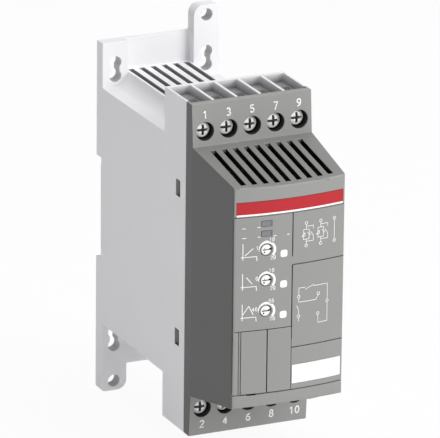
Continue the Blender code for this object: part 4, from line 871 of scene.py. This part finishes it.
def build_dials():
    """White dials: a driver slot with a round pit at one end and smaller marks opposite."""
    for name, height in zip(DIAL_NAMES, DIAL_HEIGHTS):
        dial = copy_of_node(name, name.replace("_dial", "_knob"))
        face = face_depth(SETTING_X) - PIT_START
        tools = [pin_y(SETTING_X + x, height + z, cut, face, face + depth)
                 for x, z, cut, painted, depth in DIAL_PITS]
        carve(dial, tools)
        smooth(dial)
        put(dial, name, "dial_white", [DIAL_WHITE, INSIDE_PAINTED_SHADE, DIAL_SHADE], name)
        front = min(vert.co.y for vert in dial.data.vertices) / MM
        # Painted shade on the dial's slot and sides
        paint_faces(dial, 2, lambda point, normal: point.y > front + DIAL_SIDE)
        # Painted shadow in the pits
        paint_faces(dial, 1, lambda point, normal: point.y > front + PIT_RIM and in_pit(point, height))


def in_pit(point, height):
    """True inside the round pits of a dial."""
    return any(math.hypot(point.x - SETTING_X - x, point.z - height - z) < painted
               for x, z, cut, painted, depth in DIAL_PITS)


# Print

def stroke(points, width, closed=False):
    """Thin printed line through (x, z) points, with one width or one for each point."""
    curve = bpy.data.curves.new("stroke", "CURVE")
    curve.dimensions = "3D"
    curve.bevel_depth = math.sqrt(0.5) * MM
    curve.bevel_resolution = 0
    curve.use_fill_caps = True
    spline = curve.splines.new("POLY")
    spline.points.add(len(points) - 1)
    widths = width if isinstance(width, (list, tuple)) else [width] * len(points)
    for point, pair, size in zip(spline.points, points, widths):
        point.co = (pair[0] * MM, 0.0, pair[1] * MM, 1.0)
        point.radius = size
        point.tilt = math.pi / 4
    spline.use_cyclic_u = closed
    obj = bpy.data.objects.new("stroke", curve)
    bpy.context.scene.collection.objects.link(obj)
    only(obj)
    bpy.ops.object.convert(target="MESH")
    return bpy.context.view_layer.objects.active


def line(start, end, width):
    """Straight stroke, cut into short steps so that it can follow the crowned face."""
    steps = max(1, math.ceil(math.dist(start, end) / LINE_STEP))
    points = [(start[0] + (end[0] - start[0]) * i / steps, start[1] + (end[1] - start[1]) * i / steps)
              for i in range(steps + 1)]
    return stroke(points, width)


def lines(points, width):
    return [line(a, b, width) for a, b in zip(points, points[1:])]


def bow(centre, radii, start, end, steps=9):
    """Points of an arc with its two radii, from one angle in degrees to another."""
    angles = [math.radians(start + (end - start) * i / steps) for i in range(steps + 1)]
    return [(centre[0] + radii[0] * math.cos(a), centre[1] + radii[1] * math.sin(a)) for a in angles]


def ring(centre):
    return stroke(bow(centre, (RING_RADIUS, RING_RADIUS), 0, 360, RING_STEPS)[:-1], RING_LINE, True)


def figure_shapes():
    """Strokes of the plain figures in a box 0.6 wide and 1 high, about its middle."""
    return {
        "0": [bow((0.0, 0.0), (0.25, 0.47), 0, 360, 16)],
        "1": [[(-0.16, 0.24), (0.07, 0.47), (0.07, -0.5)]],
        "2": [bow((0.0, 0.22), (0.25, 0.25), 165, -35) + [(-0.26, -0.46), (0.28, -0.46)]],
        "3": [bow((-0.02, 0.24), (0.22, 0.23), 150, -90) + bow((-0.02, -0.23), (0.26, 0.24), 90, -150)],
        "4": [[(0.12, -0.5), (0.12, 0.46)], [(0.12, 0.46), (-0.27, -0.2)], [(-0.3, -0.2), (0.3, -0.2)]],
        "5": [[(0.24, 0.46), (-0.18, 0.46), (-0.23, 0.02)] + bow((-0.01, -0.18), (0.26, 0.28), 120, -150)],
        "6": [[(0.18, 0.45), (-0.1, 0.28), (-0.24, 0.0)] + bow((0.0, -0.2), (0.25, 0.26), 170, -190, 14)],
        "7": [[(-0.27, 0.46), (0.26, 0.46), (-0.08, -0.5)]],
        "8": [bow((0.0, 0.25), (0.2, 0.21), 0, 360, 14), bow((0.0, -0.22), (0.25, 0.25), 0, 360, 14)],
        "9": [[(-0.18, -0.45), (0.1, -0.28), (0.24, 0.0)] + bow((0.0, 0.2), (0.25, 0.26), -10, -370, 14)],
    }


FIGURES = figure_shapes()


def number(text, centre, height, width):
    """Plain figures drawn with strokes, side by side about a centre."""
    pieces = []
    for place, letter in enumerate(text):
        x = centre[0] + (place - (len(text) - 1) / 2) * FIGURE_PITCH * height
        for shape in FIGURES[letter]:
            pieces.append(stroke([(x + u * height, centre[1] + v * height) for u, v in shape], width))
    return pieces


def lay_on(obj, depth_at):
    """Presses a flat print on to a face: depth_at gives the face's Y at (x, z)."""
    for vert in obj.data.vertices:
        x, y, z = vert.co / MM
        thin = max(-PRINT_HALF, min(PRINT_HALF, y))
        vert.co.y = (depth_at(x, z) - PRINT_LIFT + thin) * MM
    return obj


def print_on_front(name, pieces):
    printed = join(name, pieces)
    lay_on(printed, lambda x, z: face_depth(x))
    return put(printed, "housing", "dial_white", [PRINT_WHITE])


def scale_arc(height):
    """Arc that widens round a dial, thinner where the middle figure stands."""
    points = []
    widths = []
    for i in range(SCALE_STEPS + 1):
        angle = SCALE_START - SCALE_TURN * i / SCALE_STEPS
        width = SCALE_THIN + SCALE_GROWTH * min(1.0, (SCALE_START - angle) / SCALE_GROWTH_TURN)
        width -= SCALE_NOTCH * math.exp(-((angle - SCALE_NOTCH_AT) / SCALE_NOTCH_REACH) ** 2)
        drift = min(1.0, max(0.0, (SCALE_DRIFT_FROM - angle) / SCALE_DRIFT_TURN))
        radius = SCALE_INNER + SCALE_DRIFT * drift + width / 2
        turn = math.radians(angle)
        across = SETTING_X - SCALE_SHIFT + radius * math.cos(turn)
        points.append((across, height + radius * math.sin(turn)))
        widths.append(width)
    return stroke(points, widths)


def build_dial_scales():
    """Widening arcs round the dials, with their figures and bare fields."""
    pieces = []
    for height, marks in zip(DIAL_HEIGHTS, DIAL_MARKS):
        pieces.append(scale_arc(height))
        first = SHORT_MARK if len(marks[0]) == 1 else LONG_MARK
        for text, place in zip(marks, (first, MIDDLE_MARK, LAST_MARK)):
            pieces += number(text, (place[0], height + place[1]), MARK_HEIGHT, MARK_LINE)
        pieces.append(badge((BADGE_PLACE[0], height + BADGE_PLACE[1])))
    return print_on_front("dial_scales", pieces)


def badge(centre):
    """Rounded white field."""
    bpy.ops.object.select_all(action="DESELECT")
    bpy.ops.mesh.primitive_cube_add(size=1.0, location=(centre[0] * MM, 0, centre[1] * MM),
                                    scale=(BADGE_SIZE * MM, 2 * PRINT_HALF * MM, BADGE_SIZE * MM))
    field = settle_place(bpy.context.view_layer.objects.active)
    bevel = field.modifiers.new("corners", "BEVEL")
    bevel.width = BADGE_CORNER * MM
    bevel.segments = 5
    bevel.limit_method = "WEIGHT"
    weights = field.data.attributes.new("bevel_weight_edge", "FLOAT", "EDGE")
    for edge in field.data.edges:
        a, b = (field.data.vertices[i].co for i in edge.vertices)
        weights.data[edge.index].value = 1.0 if abs(a.y - b.y) > 0.01 * MM else 0.0
    return apply_modifiers(field)


def build_setting_symbols():
    """Small graphs of the three settings, and the short lines beside the lamps."""
    pieces = []
    for row, slope in enumerate(GRAPH_SLOPES):
        drop = row * ROW_STEP if row else FIRST_GRAPH_DROP
        for points, width in ((GRAPH_UPRIGHT, 0.30), (GRAPH_BASE, 0.27), (GRAPH_END, 0.32), (slope, 0.30)):
            pieces += lines([(x, z - drop) for x, z in points], width)
    for start, end, height in LAMP_LINES:
        pieces += lines([(start, height), (end, height)], LAMP_LINE)
    return print_on_front("setting_symbols", pieces)


def build_wiring_symbols():
    """Line diagrams of the power path and of the control path."""
    pieces = []
    for x in SWITCHED_PATHS:
        pieces += [ring((x, z)) for z in SWITCHED_RINGS]
        for points, width in SWITCHED_LINES:
            pieces += lines([(x + across, z) for across, z in points], width)
    pieces += [ring(centre) for centre in STRAIGHT_RINGS]
    for points in (STRAIGHT_LINE,) + CONTROL_LINES:
        pieces += lines(points, THIN)
    pieces += [ring(centre) for centre in CONTROL_RINGS]
    return print_on_front("wiring_symbols", pieces)


def build_terminal_numbers():
    """Plain figures above the upper terminals and below the lower ones."""
    pieces = []
    for sign, first in ((1, 1), (-1, 2)):
        for index in range(TERMINALS):
            place = (terminal_x(index), sign * TERMINAL_FIGURE_Z)
            pieces += number(str(first + 2 * index), place, TERMINAL_FIGURE_HEIGHT, TERMINAL_FIGURE_LINE)
    printed = join("terminal_numbers", pieces)
    lay_on(printed, lambda x, z: terminal_depth(z))
    return put(printed, "housing", "dial_white", [PRINT_WHITE])


# Inside

def dress_inside():
    """Gives its finish to each piece that the scene shows just as the frame has it."""
    plain = {
        "start_ramp_trimmer": TRIMMER_BLUE,
        "stop_ramp_trimmer": TRIMMER_BLUE,
        "start_voltage_trimmer": TRIMMER_BLUE,
        "upper_light_guide": GUIDE_SMOKE,
        "lower_light_guide": GUIDE_SMOKE,
        "upper_status_lamp": LAMP_EPOXY,
        "lower_status_lamp": LAMP_EPOXY,
        "control_board": BOARD_GREEN,
        "riser_board": BOARD_GREEN,
        "power_board": BOARD_GREEN,
        "accessory_connector": BLACK_MOULDED,
        "thyristor_module_1": BLACK_MOULDED,
        "thyristor_module_2": BLACK_MOULDED,
        "bypass_relay_1": RELAY_CASE,
        "bypass_relay_2": RELAY_CASE,
        "supply_transformer": LAMINATIONS,
        "filter_capacitor": BLACK_MOULDED,
        "heat_sink": ALUMINIUM,
        "through_bar": TINNED,
    }
    for terminal in range(1, 2 * TERMINALS + 1):
        plain[f"clamp_cage_{terminal}"] = TINNED
        if f"contact_bar_{terminal}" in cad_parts:
            plain[f"contact_bar_{terminal}"] = TINNED
    for node, material in plain.items():
        dress_node(node, material)


# Studio

FLOOR_WHITE = 0.93
FLOOR_TONE = (0.93, 0.93, 0.93, 1)
FLOOR_SIZE = 6.0
FLOOR_GAP = 0.2
WHITE = (1, 1, 1, 1)
AMBIENT = 0.24

# Lamps: name, place, aim, size and power, in metres and watts
LAMPS = (("front_box", (1.0, -1.45, 0.75), (0, -0.05, 0), 1.1, 21.5),
         ("top_box", (0.1, -0.1, 1.6), (0, -0.05, 0), 1.2, 13.5),
         ("left_box", (-1.5, -0.6, 0.4), (0, -0.05, 0), 0.9, 1.3),
         ("low_box", (-0.6, -1.5, 0.08), (0, -0.05, -0.03), 0.5, 3.8))

# Camera fitted to the photograph: angles in degrees, places in metres, the sensor's width in
# millimetres, and focal length, picture width and shift in pixels
CAMERA_YAW = 24.9105
CAMERA_PITCH = 18.9195
CAMERA_ROLL = 0.6464
CAMERA_AIM = (0.0, -0.053, 0.0)
CAMERA_DISTANCE = 2.10035
CAMERA_ASIDE = -0.0004354
CAMERA_RISE = 0.0097542
SENSOR_WIDTH = 36.0
FOCAL_PIXELS = 6033.48
PICTURE_PIXELS = 440
SHIFT_PIXELS = -4.05


def seen_directly(tree):
    """1 for rays that show the background: from the camera, in a reflection or through glass."""
    path = tree.nodes.new("ShaderNodeLightPath")
    direct = maths(tree, "MAXIMUM", path.outputs["Is Camera Ray"], path.outputs["Is Glossy Ray"])
    return maths(tree, "MAXIMUM", direct, path.outputs["Is Transmission Ray"])


def build_floor():
    """Pale floor that is near white to the camera and still takes the object's shadow."""
    bpy.ops.object.select_all(action="DESELECT")
    bpy.ops.mesh.primitive_plane_add(size=FLOOR_SIZE, location=(0, 0, cad_low.z - FLOOR_GAP * MM))
    floor = bpy.context.view_layer.objects.active
    floor.name = "studio_floor"
    material = bpy.data.materials.new("pale_floor")
    material.use_nodes = True
    tree = material.node_tree
    shader = tree.nodes["Principled BSDF"]
    shader.inputs["Base Color"].default_value = FLOOR_TONE
    shader.inputs["Roughness"].default_value = 0.9
    shader.inputs["Specular IOR Level"].default_value = 0.1
    white = tree.nodes.new("ShaderNodeEmission")
    white.inputs["Strength"].default_value = 1.0
    mix = tree.nodes.new("ShaderNodeMixShader")
    tree.links.new(maths(tree, "MULTIPLY", seen_directly(tree), FLOOR_WHITE), mix.inputs["Fac"])
    tree.links.new(shader.outputs["BSDF"], mix.inputs[1])
    tree.links.new(white.outputs["Emission"], mix.inputs[2])
    tree.links.new(mix.outputs["Shader"], tree.nodes["Material Output"].inputs["Surface"])
    floor.data.materials.append(material)


def soft_box(name, place, aim, size, power):
    """Large square lamp that looks at a point."""
    lamp = bpy.data.lights.new(name, "AREA")
    lamp.shape = "SQUARE"
    lamp.size = size
    lamp.energy = power
    holder = bpy.data.objects.new(name, lamp)
    bpy.context.scene.collection.objects.link(holder)
    holder.location = place
    holder.rotation_mode = "QUATERNION"
    holder.rotation_quaternion = (Vector(aim) - Vector(place)).to_track_quat("-Z", "Y")


def build_light():
    for lamp in LAMPS:
        soft_box(*lamp)
    world = bpy.context.scene.world or bpy.data.worlds.new("studio")
    bpy.context.scene.world = world
    world.use_nodes = True
    tree = world.node_tree
    ambient = tree.nodes["Background"]
    ambient.inputs["Color"].default_value = WHITE
    ambient.inputs["Strength"].default_value = AMBIENT
    seen = tree.nodes.new("ShaderNodeBackground")
    seen.inputs["Color"].default_value = WHITE
    seen.inputs["Strength"].default_value = 1.0
    mix = tree.nodes.new("ShaderNodeMixShader")
    tree.links.new(seen_directly(tree), mix.inputs["Fac"])
    tree.links.new(ambient.outputs["Background"], mix.inputs[1])
    tree.links.new(seen.outputs["Background"], mix.inputs[2])
    tree.links.new(mix.outputs["Shader"], tree.nodes["World Output"].inputs["Surface"])


def build_camera():
    """Long lens at the photograph's angle: from the left and above."""
    yaw = math.radians(CAMERA_YAW)
    pitch = math.radians(CAMERA_PITCH)
    roll = math.radians(CAMERA_ROLL)
    forward = Vector((math.sin(yaw) * math.cos(pitch), math.cos(yaw) * math.cos(pitch), -math.sin(pitch)))
    right = Vector((math.cos(yaw), -math.sin(yaw), 0.0))
    up = right.cross(forward)
    place = Vector(CAMERA_AIM) - forward * CAMERA_DISTANCE + right * CAMERA_ASIDE + up * CAMERA_RISE
    level = right * math.cos(roll) + up * math.sin(roll)
    upright = -right * math.sin(roll) + up * math.cos(roll)
    lens = bpy.data.cameras.new("camera")
    lens.sensor_width = SENSOR_WIDTH
    lens.lens = FOCAL_PIXELS / PICTURE_PIXELS * SENSOR_WIDTH
    lens.shift_y = SHIFT_PIXELS / PICTURE_PIXELS
    lens.clip_start = 0.1
    lens.clip_end = 20.0
    camera = bpy.data.objects.new("camera", lens)
    bpy.context.scene.collection.objects.link(camera)
    turn = Matrix((level, upright, -forward)).transposed().to_4x4()
    camera.matrix_world = Matrix.Translation(place) @ turn
    bpy.context.scene.camera = camera


bpy.context.scene.view_settings.view_transform = "Standard"
build_rear_housing()
build_front_shell()
build_cover()
build_title_strip()
build_marker()
build_latch()
build_latch_spring()
build_screws()
build_dials()
build_dial_scales()
build_setting_symbols()
build_wiring_symbols()
build_terminal_numbers()
dress_inside()
build_floor()
build_light()
build_camera()
